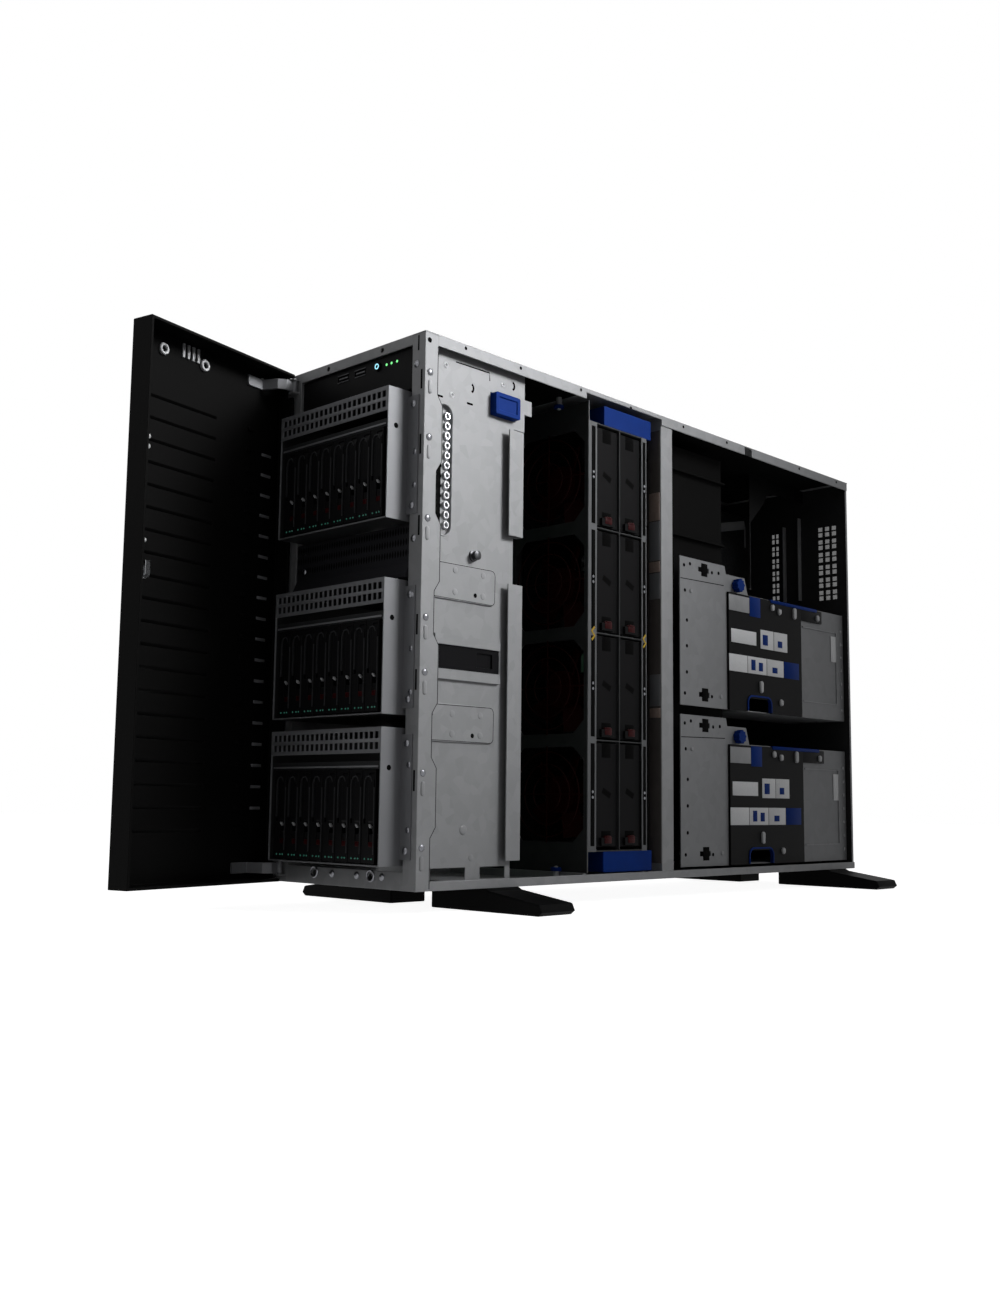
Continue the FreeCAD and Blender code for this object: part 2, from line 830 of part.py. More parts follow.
DRIVES = 8
CAGE_COUNT = 3
CAGE_WIDTH = "(width - 2*cage_inset)"
CAGE_X = (f"-{CAGE_WIDTH}/2", f"{CAGE_WIDTH}/2")
CAGE_Y = ("-cage_proud", "cage_depth - cage_proud")
FREE_HEIGHT = f"(height - cage_low - {CAGE_COUNT}*cage_height)"
ALL_GAPS = "(cage_gap + media_bay + crown_gap)"
CROWN = f"({FREE_HEIGHT}*crown_gap/{ALL_GAPS})"
LOW_CAGE = "cage_low"
MIDDLE_CAGE = f"(cage_low + cage_height + {FREE_HEIGHT}*cage_gap/{ALL_GAPS})"
HIGH_CAGE = f"(height - {CROWN} - cage_height)"
CAGES = {1: HIGH_CAGE, 2: MIDDLE_CAGE, 3: LOW_CAGE}
DRIVE_PITCH = f"(({CAGE_WIDTH} - cage_margin)/{DRIVES})"


def drive_middle(slot):
    """Middle of a drive across the cage."""
    return f"{slot - (DRIVES - 1) / 2}*{DRIVE_PITCH}"


def drive_cages():
    """Folded cage with a vented head, ears that sit on the columns and a guide strip under each drive."""
    inner_x = (f"{CAGE_X[0]} + cage_sheet", f"{CAGE_X[1]} - cage_sheet")
    inner_z = ("cage_sheet", "cage_height - cage_sheet")
    shell = cut("cage_shell", block("cage_outer", CAGE_X, CAGE_Y, ("0", "cage_height")),
                block("cage_hollow", inner_x, (f"{CAGE_Y[0]} - past", f"{CAGE_Y[1]} + past"), inner_z))
    front = (CAGE_Y[0], f"{CAGE_Y[0]} + cage_sheet")
    band = block("cage_band", inner_x, front, ("cage_height - vent_band", inner_z[1]))
    rail_y = f"{CAGE_Y[0]} + rail_set"
    rail_low = "carrier_rise + carrier_height + play"
    rail_high = f"{rail_low} + head_rail"
    rail = block("cage_rail", inner_x, (rail_y, f"{rail_y} + rail_deep"), (rail_low, rail_high))
    shelf = block("cage_shelf", inner_x, (rail_y, CAGE_Y[1]), (rail_high, f"{rail_high} + cage_sheet"))
    guides = [
        block(f"cage_guide_{slot}",
              (f"{drive_middle(slot)} - guide_width/2", f"{drive_middle(slot)} + guide_width/2"),
              (f"{CAGE_Y[0]} + guide_end", f"{CAGE_Y[1]} - guide_end"),
              ("cage_sheet", "carrier_rise - play"))
        for slot in range(DRIVES)
    ]
    sides = ((f"{CAGE_X[0]} - ear_width", CAGE_X[0]), (CAGE_X[1], f"{CAGE_X[1]} + ear_width"))
    ears = [
        block(f"cage_ear_{index}", x, ("-cage_sheet", "0"), ("ear_inset", "cage_height - ear_inset"))
        for index, x in enumerate(sides)
    ]
    vent_z = "cage_height - vent_band + vent_rise"
    strip_z = f"{vent_z} + vent_height"
    strip = block("cage_strip", inner_x, (f"{front[1]} + play", f"{front[1]} + play + cage_sheet"),
                  (strip_z, f"{strip_z} + vent_bar"))
    vent_pitch = f"(({CAGE_WIDTH} - vent_margin)/vent_count)"
    holes = []
    for column in range(SIZES["vent_count"]):
        middle = f"({column} - (vent_count - 1)/2)*{vent_pitch}"
        half = f"({vent_pitch} - vent_web)/2"
        holes.append(block(f"cage_vent_{column}", (f"{middle} - {half}", f"{middle} + {half}"),
                           (f"{CAGE_Y[0]} - past", f"{front[1]} + play/2"),
                           (vent_z, f"{vent_z} + 2*vent_height + vent_bar")))
    cage = cut("drive_cage", fuse("cage_sheets", shell, band, strip, rail, shelf, *guides, *ears), *holes)
    for number, low in CAGES.items():
        node(f"drive_cage_{number}", cage, at=("0", "0", low))


def drives():
    """Hot-plug drive: a carrier bezel with a lever and a button, and the drive itself behind it."""
    half = f"({DRIVE_PITCH} - carrier_gap)/2"
    seat_y = ("-past", "bezel_depth/2")
    bezel = block("bezel_blank", (f"-{half}", half), ("0", "bezel_depth"), ("0", "carrier_height"))
    slit_x = f"-{half} + bezel_rim"
    slit = block("bezel_slit", (slit_x, f"{slit_x} + slit_width"), seat_y,
                 ("lever_low + slit_margin", "carrier_height - slit_margin"))
    lever_x = (f"{half} - lever_edge - lever_width", f"{half} - lever_edge")
    lever_top = "carrier_height - lever_head"
    button_z = ("lever_low - button_height - button_gap", "lever_low - button_gap")
    seat = block("lever_seat", (f"{lever_x[0]} - play", f"{lever_x[1]} + play"), seat_y,
                 (f"{button_z[0]} - play", f"{lever_top} + play"))
    lever = prism("lever", "x", [
        ("bezel_depth/2", "lever_low"),
        ("bezel_depth/4", "lever_low"),
        ("-lever_proud", "lever_low + lever_slope"),
        ("-lever_proud", "carrier_height - lever_slope"),
        ("lever_proud", lever_top),
        ("bezel_depth/2", lever_top),
    ], *lever_x)
    button = block("lever_button", lever_x, ("button_sunk", "bezel_depth/2"), button_z)
    carrier = cut("carrier", bezel, seat, slit)
    disk_half = f"({DRIVE_PITCH} - drive_gap)/2"
    disk = block("disk", (f"-{disk_half}", disk_half), ("bezel_depth", "bezel_depth + drive_length"),
                 ("(carrier_height - drive_height)/2", "(carrier_height + drive_height)/2"))
    for cage, low in CAGES.items():
        for slot in range(DRIVES):
            node(f"drive_{cage}_{slot + 1}", carrier, lever, button, disk,
                 at=(drive_middle(slot), "bezel_recess - cage_proud", f"{low} + carrier_rise"))


def backplanes():
    """Board across the back of each cage with one plug per drive."""
    board = block("backplane_board", CAGE_X, (CAGE_Y[1], f"{CAGE_Y[1]} + board"),
                  ("plane_low", "carrier_height + plane_over"))
    reach = "bezel_recess - cage_proud + bezel_depth + drive_length + plug_gap"
    plug_low = "carrier_rise + plug_rise"
    plugs = [
        block(f"plug_{slot}",
              (f"{drive_middle(slot)} - plug_width/2", f"{drive_middle(slot)} + plug_width/2"),
              (reach, CAGE_Y[1]), (plug_low, f"{plug_low} + plug_height"))
        for slot in range(DRIVES)
    ]
    plane = fuse("backplane", board, *plugs)
    copies = [moved(f"backplane_{number}", plane, z=low) for number, low in CAGES.items()]
    node("drive_backplanes", *copies)


def media_blanks():
    """Blank with a sloped lower lip between the upper two cages, and the plain blank in the side slot."""
    low = f"{MIDDLE_CAGE} + cage_height + blank_gap"
    high = f"{HIGH_CAGE} - blank_gap"
    tall = f"({span(low, high)})"
    front = prism("front_blank", "x", [
        ("sheet + blank_depth", low),
        ("-blank_lip", low),
        ("-blank_lip", f"{low} + {tall}*lip_share"),
        ("sheet", f"{low} + {tall}*(lip_share + slope_share)"),
        ("sheet", high),
        ("sheet + blank_depth", high),
    ], *BETWEEN_COLUMNS)
    side = block("side_blank", (f"{WALL} - sheet", f"{WALL} + rail_proud/2"),
                 ("slot_front", "slot_rear"), ("slot_low", "slot_high"))
    notch = block("side_blank_notch", (WALL, f"{WALL} + rail_proud"),
                  ("slot_rear - blank_end - blank_notch", "slot_rear - blank_end"),
                  ("slot_low + notch_edge", "slot_high - notch_edge"))
    node("media_blanks", front, cut("side_blank_cut", side, notch))


def control_panel():
    """Panel over the top cage with the power button and shallow port recesses."""
    high = "height - crown_lip"
    plate = block("panel_plate", BETWEEN_COLUMNS, ("panel_back", "panel_back + panel_depth"),
                  (f"height - {CROWN} + panel_gap", high))
    level = f"{high} - button_drop"
    hole = rod("button_hole", "y", "button_side", "0", level, "button_radius + play",
               "panel_back + panel_depth + past")
    ports = [
        block(f"port_{index}", (f"{x} - port_width/2", f"{x} + port_width/2"),
              ("0", "panel_back + port_deep"), (f"{level} - port_height/2", f"{level} + port_height/2"))
        for index, x in enumerate(("port_side", "port_side - port_spread"))
    ]
    node("control_panel", cut("panel_cut", plate, hole, *ports))
    cap = rod("button_cap", "y", "button_side", "panel_back - button_proud", level, "button_radius",
              "panel_depth")
    node("power_button", cap)


ROWS = 4
FAN_AXIS = f"({FAN_SIDE} - fan_axis)"
FAN_LEFT = f"({FAN_AXIS} - fan_left)"
ROW_SPACE = f"({FAN_ROOF} - fan_floor - sheet - row_floor_gap - row_roof_gap - {ROWS - 1}*row_gap)"
FAN_HEIGHT = f"({ROW_SPACE}/{ROWS})"
ROW_PITCH = f"({FAN_HEIGHT} + row_gap)"
FIRST_ROW = f"(fan_floor + sheet + row_floor_gap + {FAN_HEIGHT}/2)"
DUCT_X = "(fan_width/2 - bore_side)"
DUCT_Z = f"({FAN_HEIGHT}/2 - bore_rim)"
FIRST_FAN = "fan_front + fan_flange + play"


def row_height(index):
    """Height of a fan axis, counted from the top row."""
    return f"{FIRST_ROW} + {ROWS - 1 - index}*{ROW_PITCH}"


def chamfered_window(across, up, half_x, half_z, corner):
    """Outline of a four-sided opening with cut corners round a centre."""
    near_x = f"({half_x} - {corner})"
    near_z = f"({half_z} - {corner})"
    high = (near_x, half_z)
    wide = (half_x, near_z)
    corners = [(1, 1, high), (1, 1, wide), (1, -1, wide), (1, -1, high),
               (-1, -1, high), (-1, -1, wide), (-1, 1, wide), (-1, 1, high)]
    return [(f"{across} + {right}*{dx}", f"{up} + {rise}*{dz}") for right, rise, (dx, dz) in corners]


def fan_cage():
    """Frame that holds the fans: three plates with chamfered openings, shelves and side flanges."""
    box_x = (FAN_LEFT, FAN_SIDE)
    box_y = ("fan_front", "fan_rear")
    box_z = ("fan_floor", f"{FAN_ROOF} + sheet")
    flange_x = (f"{FAN_SIDE} - sheet", FAN_SIDE)
    middle = f"{FIRST_FAN} + fan_depth + (fan_pitch - fan_depth)/2 - sheet/2"
    rear_flange = "fan_rear - fan_rear_flange"
    plates = [
        block("fan_front_plate", (f"-{FAN_SIDE}", FAN_SIDE), ("fan_front", "fan_front + sheet"),
              (FAN_LOW, FAN_HIGH)),
        block("fan_middle_plate", box_x, (middle, f"{middle} + sheet"), box_z),
        block("fan_rear_plate", box_x, ("fan_rear - sheet", "fan_rear"), box_z),
        block("fan_left_plate", (FAN_LEFT, f"{FAN_LEFT} + sheet"), box_y, box_z),
        block("fan_floor_plate", box_x, box_y, ("fan_floor", "fan_floor + sheet")),
        block("fan_roof_plate", box_x, box_y, (FAN_ROOF, f"{FAN_ROOF} + sheet")),
        block("fan_front_flange", flange_x, ("fan_front", "fan_front + fan_flange"), box_z),
        block("fan_rear_flange", flange_x, (rear_flange, "fan_rear"), box_z),
    ]
    for index in range(ROWS - 1):
        low = f"{FIRST_ROW} + {index + 0.5}*{ROW_PITCH} - sheet/2"
        plates.append(block(f"fan_shelf_{index}", box_x, box_y, (low, f"{low} + sheet")))
    openings = [
        prism(f"fan_opening_{index}", "y",
              chamfered_window(FAN_AXIS, row_height(index), DUCT_X, DUCT_Z, "opening_corner"),
              "fan_front - past", "fan_rear + past")
        for index in range(ROWS)
    ]
    node("fan_cage", cut("fan_cage_cut", fuse("fan_cage_sheets", *plates), *openings))


def fan_handles():
    """Moulded grips above and below the fan frame, cored out from the side that sits on the frame."""
    x = (f"{FAN_SIDE} - handle_depth", FAN_SIDE)
    y = ("handle_front", "handle_front + handle_length")
    grip_x = (f"{x[0]} + handle_back", f"{FAN_SIDE} - handle_face")
    grip_y = (f"{y[0]} + handle_wall", f"{y[1]} - handle_wall")
    roof = f"{FAN_ROOF} + sheet"
    upper = cut("upper_handle", block("upper_handle_blank", x, y, (roof, FAN_HIGH)),
                block("upper_grip", grip_x, grip_y, (f"{roof} - past", f"{roof} + grip_height")))
    lower = cut("lower_handle", block("lower_handle_blank", x, y, (FAN_LOW, "fan_floor")),
                block("lower_grip", grip_x, grip_y, ("fan_floor - grip_height", "fan_floor + past")))
    node("fan_handles", upper, lower)


HUB_FLAT_COUNT = 18


def fan_rotor():
    """Hub with pitched flat blades, padded on a tilted plane and repeated round the axis."""
    body = doc.addObject("PartDesign::Body", "rotor")
    hub_outline = new_sketch(body, "hub_outline", "XZ_Plane", "-play")
    draw_polygon(hub_outline, round_outline("hub_radius", HUB_FLAT_COUNT))
    hub = body.newObject("PartDesign::Pad", "hub")
    hub.Profile = hub_outline
    hub.Reversed = True
    bind(hub, Length="hub_length")
    tilted = new_sketch(body, "blade_outline", "XY_Plane")
    tip = f"({SMALLER_OF}({DUCT_X}; {DUCT_Z}) - tip_gap)"
    seat = "hub_radius*blade_seat_share"
    draw_polygon(tilted, [
        (seat, "-blade_root/2"),
        (f"{tip} - blade_tip/8", "-blade_tip/2"),
        (f"{tip} - tip_gap", "0"),
        (f"{tip} - blade_tip/8", "blade_tip/2"),
        (seat, "blade_root/2"),
    ])
    about_x = FreeCAD.Rotation(FreeCAD.Vector(1, 0, 0), 1)
    tilted.AttachmentOffset = FreeCAD.Placement(FreeCAD.Vector(), about_x)
    tilted.setExpression("AttachmentOffset.Base.y", formula("hub_length/2"))
    tilted.setExpression("AttachmentOffset.Base.z", "0")
    tilted.setExpression("AttachmentOffset.Rotation.Angle", formula("90 - blade_angle"))
    doc.recompute()
    blade = body.newObject("PartDesign::Pad", "blade")
    blade.Profile = tilted
    blade.Midplane = True
    bind(blade, Length="blade_sheet")
    doc.recompute()
    blades = body.newObject("PartDesign::PolarPattern", "blades")
    blades.Originals = [blade]
    blades.Axis = (origin_part(body, "Y_Axis"), [""])
    blades.Angle = 360
    bind(blades, Occurrences="blade_count")
    body.Tip = blades
    return body


def fans():
    """Two fan housings in line in each row, each with its rotor on the same axis."""
    half_x = "fan_width/2"
    half_z = f"{FAN_HEIGHT}/2"
    frame = block("housing_blank", (f"-{half_x}", half_x), ("0", "fan_depth"), (f"-{half_z}", half_z))
    duct = prism("housing_duct", "y", chamfered_window("0", "0", DUCT_X, DUCT_Z, "bore_corner"),
                 "-past", "fan_depth + past")
    motor_y = ("fan_depth - motor_depth", "fan_depth")
    motor = prism("housing_motor", "y",
                  chamfered_window("0", "0", "hub_radius", "hub_radius", "motor_corner"), *motor_y)
    strut = ("-strut_width/2", "strut_width/2")
    bars = [
        block("housing_bar_across", (f"-{half_x} + sheet", f"{half_x} - sheet"), motor_y, strut),
        block("housing_bar_up", strut, motor_y, (f"-{half_z} + sheet", f"{half_z} - sheet")),
    ]
    pull_low = f"-{half_z} + sheet"
    pull = block("housing_pull", (half_x, f"{half_x} + pull_proud"),
                 ("fan_depth/2 - pull_width/2", "fan_depth/2 + pull_width/2"),
                 (pull_low, f"{pull_low} + pull_height"))
    housing = fuse("fan_housing", cut("housing_frame", frame, duct), motor, *bars, pull)
    rotor = fan_rotor()
    housing_pair = (housing, moved("rear_housing", housing, y="fan_pitch"))
    rotor_pair = (rotor, moved("rear_rotor", rotor, y="fan_pitch"))
    for index in range(ROWS):
        level = row_height(index)
        node(f"fan_row_{index + 1}", *housing_pair, at=(FAN_AXIS, FIRST_FAN, level))
        node(f"fan_rotor_{index + 1}", *rotor_pair, at=(FAN_AXIS, f"{FIRST_FAN} + hub_start", level))


COOLER_LEVELS = ("cooler_low", "(height - cooler_high)")
FINS = 11
MEMORY_PLACES = ("-memory_near - memory_pitch", "-memory_near", "memory_near", "memory_near + memory_pitch")
BOARD_UNDER = f"{INNER_LEFT} + standoff"
BOARD_FACE = f"{INNER_LEFT} + standoff + board"


def cooler(name, level):
    """Finned aluminium cooler on the board."""
    y = ("board_front + cooler_front", "board_front + cooler_front + cooler_length")
    low = f"{level} - cooler_half"
    fin_pitch = f"((2*cooler_half - fin_sheet)/{FINS - 1})"
    foot = block(f"{name}_foot", (BOARD_FACE, f"{BOARD_FACE} + cooler_foot"), y,
                 (low, f"{low} + 2*cooler_half"))
    fins = [
        block(f"{name}_fin_{fin}", (f"{BOARD_FACE} + cooler_foot", f"{BOARD_FACE} + cooler_height"), y,
              (f"{low} + {fin}*{fin_pitch}", f"{low} + {fin}*{fin_pitch} + fin_sheet"))
        for fin in range(FINS)
    ]
    return fuse(name, foot, *fins)


def system_board():
    """Board on the closed side with finned coolers, memory modules and the riser sockets."""
    board_x = (BOARD_UNDER, BOARD_FACE)
    step = "(height - board_step)"
    sheets = [
        block("board_main", board_x, ("board_front", "depth - board_rear"), ("board_low", step)),
        block("board_upper", board_x, ("board_front", "memory_rear"), (step, "height - board_high")),
    ]
    pads = [
        block(f"board_pad_{index}_{level}", (INNER_LEFT, BOARD_UNDER),
              (y, f"{y} + pad_size"), (z, f"{z} + pad_size"))
        for index, y in enumerate(("board_front + pad_inset", "memory_rear - pad_back"))
        for level, z in enumerate(("board_low + pad_inset", f"{step} - pad_back"))
    ]
    socket_y = "riser_board_front - socket_lead"
    sockets = [
        block(f"riser_socket_{index}", (BOARD_FACE, f"{BOARD_FACE} + socket_height"),
              (socket_y, f"{socket_y} + socket_width"),
              (f"{z} + socket_inset", f"{z} + riser_height - socket_inset"))
        for index, z in enumerate(("riser_low", "riser_high"))
    ]
    memory_y = "board_front + memory_gap"
    modules = [
        block(f"memory_{bank}_{index}", (BOARD_FACE, f"{BOARD_FACE} + memory_height"),
              (memory_y, f"{memory_y} + memory_length"),
              (f"{level} + {offset} - memory_sheet/2", f"{level} + {offset} + memory_sheet/2"))
        for bank, level in enumerate(COOLER_LEVELS)
        for index, offset in enumerate(MEMORY_PLACES)
    ]
    coolers = [cooler(f"cooler_{bank}", level) for bank, level in enumerate(COOLER_LEVELS)]
    node("system_board", fuse("system_board_sheet", *sheets, *pads, *sockets), *coolers, *modules)


def air_baffle():
    """Black duct that leads the air from the fans over the coolers."""
    side = "(width/2 - baffle_side)"
    outside = f"{side} + baffle_sheet"
    high = "height - baffle_high"
    y = ("board_front + baffle_lead", "baffle_rear")
    cover = block("baffle_cover", (side, outside), ("baffle_front", "baffle_rear"), ("baffle_low", high))
    sides = [
        block(f"baffle_wall_{index}", (BOARD_FACE, side), y, (z, f"{z} + baffle_sheet"))
        for index, z in enumerate(("baffle_low", f"{high} - baffle_sheet"))
    ]
    ribs = [
        block(f"baffle_rib_{index}", (outside, f"{outside} + baffle_rib"), y, (z, f"{z} + baffle_sheet"))
        for index, z in enumerate((f"{high} - baffle_rib_first", f"{high} - baffle_rib_second"))
    ]
    node("air_baffle", fuse("air_baffle_shell", cover, *sides, *ribs))


PLATE_END = "riser_front + riser_plate"


def cross_cutout(name, x, level):
    """Cross-shaped finger hole in the riser plate, as a wide and a tall bar."""
    middle = "riser_front + cross_front"
    return [
        block(name + "_wide", x, (f"{middle} - cross_reach", f"{middle} + cross_reach"),
              (f"{level} - cross_arm", f"{level} + cross_arm")),
        block(name + "_tall", x, (f"{middle} - cross_half", f"{middle} + cross_half"),
              (f"{level} - cross_tall", f"{level} + cross_tall")),
    ]


def riser_cages():
    """Lift-out riser cage: outer plate, side folds, riser board and the black panel."""
    top = "riser_height"
    edge = f"{top} - riser_edge"
    shoulder = f"{top} + riser_tab - riser_shoulder"
    plate = prism("riser_outline", "x", [
        ("riser_front", "0"),
        (RISER_REAR, "0"),
        (RISER_REAR, edge),
        (f"{PLATE_END} + shoulder_rear", edge),
        (f"{PLATE_END} + shoulder_front", shoulder),
        (PLATE_END, shoulder),
        (f"{PLATE_END} - baffle_sheet", f"{top} + riser_tab"),
        ("riser_front", f"{top} + riser_tab"),
    ], f"{WALL} - sheet", WALL)
    folds = [
        block(f"riser_fold_{index}", (f"{WALL} - riser_shelf", f"{WALL} - sheet"),
              ("riser_board_front - socket_lead", RISER_REAR), z)
        for index, z in enumerate((("0", "sheet"), (f"{edge} - sheet", edge)))
    ]
    through = (f"{WALL} - sheet - past", f"{WALL} + panel_proud + past")
    crosses = cross_cutout("upper_cross", through, f"{top} + riser_tab*cross_share")
    crosses += cross_cutout("lower_cross", through, "cross_low")
    notch_y = f"{PLATE_END} + notch_front"
    notch = block("riser_notch", through, (notch_y, f"{notch_y} + notch_length"), ("-past", "notch_height"))
    press = block("riser_press", (f"{WALL} - press_deep", f"{WALL} + past"),
                  (f"{PLATE_END} + panel_length + press_gap", f"{RISER_REAR} - press_rear"),
                  ("press_low", f"{top} - press_head"))
    metal = cut("riser_metal", fuse("riser_sheets", plate, *folds), notch, press, *crosses)
    blank = block("riser_panel_blank", (WALL, f"{WALL} + panel_proud"),
                  (f"{PLATE_END} + past", f"{PLATE_END} + panel_length"), ("0", f"{edge} - past"))
    panel = cut("riser_panel", blank, notch)
    card = block("riser_card", (f"{BOARD_FACE} + socket_height", f"{WALL} - riser_board_edge"),
                 ("riser_board_front", "riser_board_front + board"),
                 ("riser_board_low", f"{top} - riser_board_head"))
    knob = knob_shape("knob")
    for number, low in ((1, "riser_high"), (2, "riser_low")):
        node(f"riser_cage_{number}", metal, panel, card, at=("0", "0", low))
        node(f"riser_knob_{number}", knob,
             at=(WALL, f"{PLATE_END} + knob_front", f"{low} + {top} + knob_rise"))


KNOB_TEETH = 9
STEPS_PER_TOOTH = 4


def knob_shape(name):
    """Thumb knob along x with a toothed rim."""
    rim = []
    for step in range(STEPS_PER_TOOTH * KNOB_TEETH):
        turn = 2 * math.pi * step / (STEPS_PER_TOOTH * KNOB_TEETH)
        on_tooth = step % STEPS_PER_TOOTH < STEPS_PER_TOOTH / 2
        radius = "knob_radius" if on_tooth else "(knob_radius - knob_tooth)"
        rim.append((f"{radius}*{math.cos(turn):.5f}", f"{radius}*{math.sin(turn):.5f}"))
    return prism(name, "x", rim, "play", "play + knob_length")


def power_supply():
    """Hot-plug supply that slides in from the rear, with a wire-like pull handle."""
    face = "depth + psu_face"
    case = block("psu_case", (PSU_LEFT, f"{PSU_LEFT} + psu_width"), (f"{PSU_FRONT} + play", face),
                 (PSU_LOW, f"{PSU_LOW} + psu_height"))
    inlet_x = f"{PSU_LEFT} + inlet_side"
    inlet_z = f"{PSU_LOW} + inlet_low"
    inlet = block("psu_inlet", (inlet_x, f"{inlet_x} + inlet_width"),
                  (f"{face} - 2*psu_face", f"{face} + past"), (inlet_z, f"{inlet_z} + inlet_height"))
    grip_x = (f"{PSU_LEFT} + grip_side", f"{PSU_LEFT} + grip_side + grip_width")
    low = f"{PSU_LOW} + grip_low"
    high = f"{low} + grip_length"
    end = "depth + psu_grip"
    grip = [
        block("psu_leg_low", grip_x, (face, end), (low, f"{low} + grip_sheet")),
        block("psu_leg_high", grip_x, (face, end), (f"{high} - grip_sheet", high)),
        block("psu_bar", grip_x, (f"{end} - grip_sheet", end), (low, high)),
    ]
    node("power_supply", fuse("psu_solid", cut("psu_body", case, inlet), *grip))


def feet():
    """Four outrigger feet screwed under the floor, with a top that slopes down to the tip."""
    outline = [
        ("foot_inner", "-foot_height"),
        ("foot_reach - foot_toe", "-foot_height"),
        ("foot_reach", "-foot_height + foot_nose"),
        ("foot_reach - foot_nose", "-foot_height + foot_tip"),
        ("width/2 + foot_shoulder", "-foot_step"),
        ("width/2", "0"),
        ("foot_inner", "0"),
    ]
    front = prism("foot_right_front", "y", outline, "front_foot", "front_foot + foot_depth")
    rear = prism("foot_right_rear", "y", outline, "depth - rear_foot", "depth - rear_foot + foot_depth")
    node("feet", front, rear, mirrored("foot_left_front", front), mirrored("foot_left_rear", rear))


HINGE_AT = (PIVOT_X, "-pivot_front", "0")
DOOR_TURN = "-door_angle"


def door_x(text):
    """A place across the closed door, counted from its hinge axis."""
    return f"{text} - {PIVOT_X}"


def door_y(text):
    """A place in front of the closed chassis, counted from the hinge axis."""
    return f"{text} + pivot_front"


DOOR_FACE = door_y("-door_gap - door_depth")
DOOR_FLOOR = door_y("-door_gap - door_depth + door_wall")
LOCK_X = door_x("width/2 - lock_side")


def door_pan():
    """The open pan: a moulded shell with a stepped hinge edge, and room for the hinge strips."""
    rim = door_y("-door_gap")
    throat = door_y("-door_gap - door_throat")
    hinge_edge = door_x("-width/2 + door_step")
    left, right = door_x(LEFT), door_x(RIGHT)
    outer = prism("door_outer", "z", [
        (hinge_edge, rim),
        (hinge_edge, throat),
        (left, f"{throat} - door_lean"),
        (left, f"{DOOR_FACE} + door_edge"),
        (f"{left} + door_edge", DOOR_FACE),
        (f"{right} - door_edge", DOOR_FACE),
        (right, f"{DOOR_FACE} + door_edge"),
        (right, rim),
    ], "0", "height")
    inner = prism("door_inner", "z", [
        (f"{hinge_edge} + door_wall", f"{rim} + past"),
        (f"{hinge_edge} + door_wall", f"{throat} - door_wall"),
        (f"{left} + door_wall", f"{throat} - door_wall - door_lean"),
        (f"{left} + door_wall", DOOR_FLOOR),
        (f"{right} - door_wall", DOOR_FLOOR),
        (f"{right} - door_wall", f"{rim} + past"),
    ], "door_wall", "height - door_wall")
    levels = (
        ("door_wall", f"{ARM_LOW} + arm_height + notch_room"),
        (f"{ARM_HIGH} - notch_room", "height - door_wall"),
    )
    notches = [
        block(f"door_notch_{index}", (f"{hinge_edge} - past", f"{hinge_edge} + door_wall + past"),
              (f"{throat} + notch_lead", f"{rim} + past"), z)
        for index, z in enumerate(levels)
    ]
    return cut("door_hollow", outer, inner, *notches)


def front_door():
    """Door drawn closed about its hinge axis, with slanted louvres, and turned to the open angle."""
    slit_end = door_x("width/2 - louvre_side")
    slit_x = (f"{slit_end} - louvre_width", slit_end)
    slant = "(louvre_height + louvre_shade)/door_wall"
    pitch = "((height - louvre_first - louvre_head)/(louvre_count - 1))"
    tab_x = door_x("-width/2 + door_tab_side")
    louvres = []
    tabs = []
    for level in range(SIZES["louvre_count"]):
        z = f"louvre_first + {level}*{pitch}"
        high = f"{z} + {slant}*past"
        low = f"{z} - {slant}*(door_wall + past)"
        louvres.append(prism(f"louvre_{level}", "x", [
            (f"{DOOR_FACE} - past", low),
            (f"{DOOR_FLOOR} + past", high),
            (f"{DOOR_FLOOR} + past", f"{high} + louvre_height"),
            (f"{DOOR_FACE} - past", f"{low} + louvre_height"),
        ], *slit_x))
        tabs.append(block(f"door_tab_{level}", (tab_x, f"{tab_x} + door_tab_width"),
                          (DOOR_FLOOR, f"{DOOR_FLOOR} + door_tab_proud"), (z, f"{z} + door_tab_height")))
    lock_hole = rod("lock_hole", "y", LOCK_X, f"{DOOR_FACE} - past", "lock_height", "lock_radius + play",
                    "door_wall + 2*past")
    pan = cut("door_pan", fuse("door_shell", door_pan(), *tabs), *louvres, lock_hole)
    node("front_door", pan, at=HINGE_AT, turn=DOOR_TURN)


def door_lock():
    """Lock barrel through the door with a flat cam on its inner end."""
    barrel_y = f"{DOOR_FACE} + lock_inset"
    cam_y = f"{barrel_y} + lock_length"
    barrel = rod("lock_barrel", "y", LOCK_X, barrel_y, "lock_height", "lock_radius", "lock_length")
    cam = block("lock_cam", (f"{LOCK_X} - cam_width/2", f"{LOCK_X} + cam_width/2"),
                (cam_y, f"{cam_y} + cam_sheet"), ("lock_height - cam_low", "lock_height + cam_high"))
    node("door_lock", fuse("door_lock_solid", barrel, cam), at=HINGE_AT, turn=DOOR_TURN)


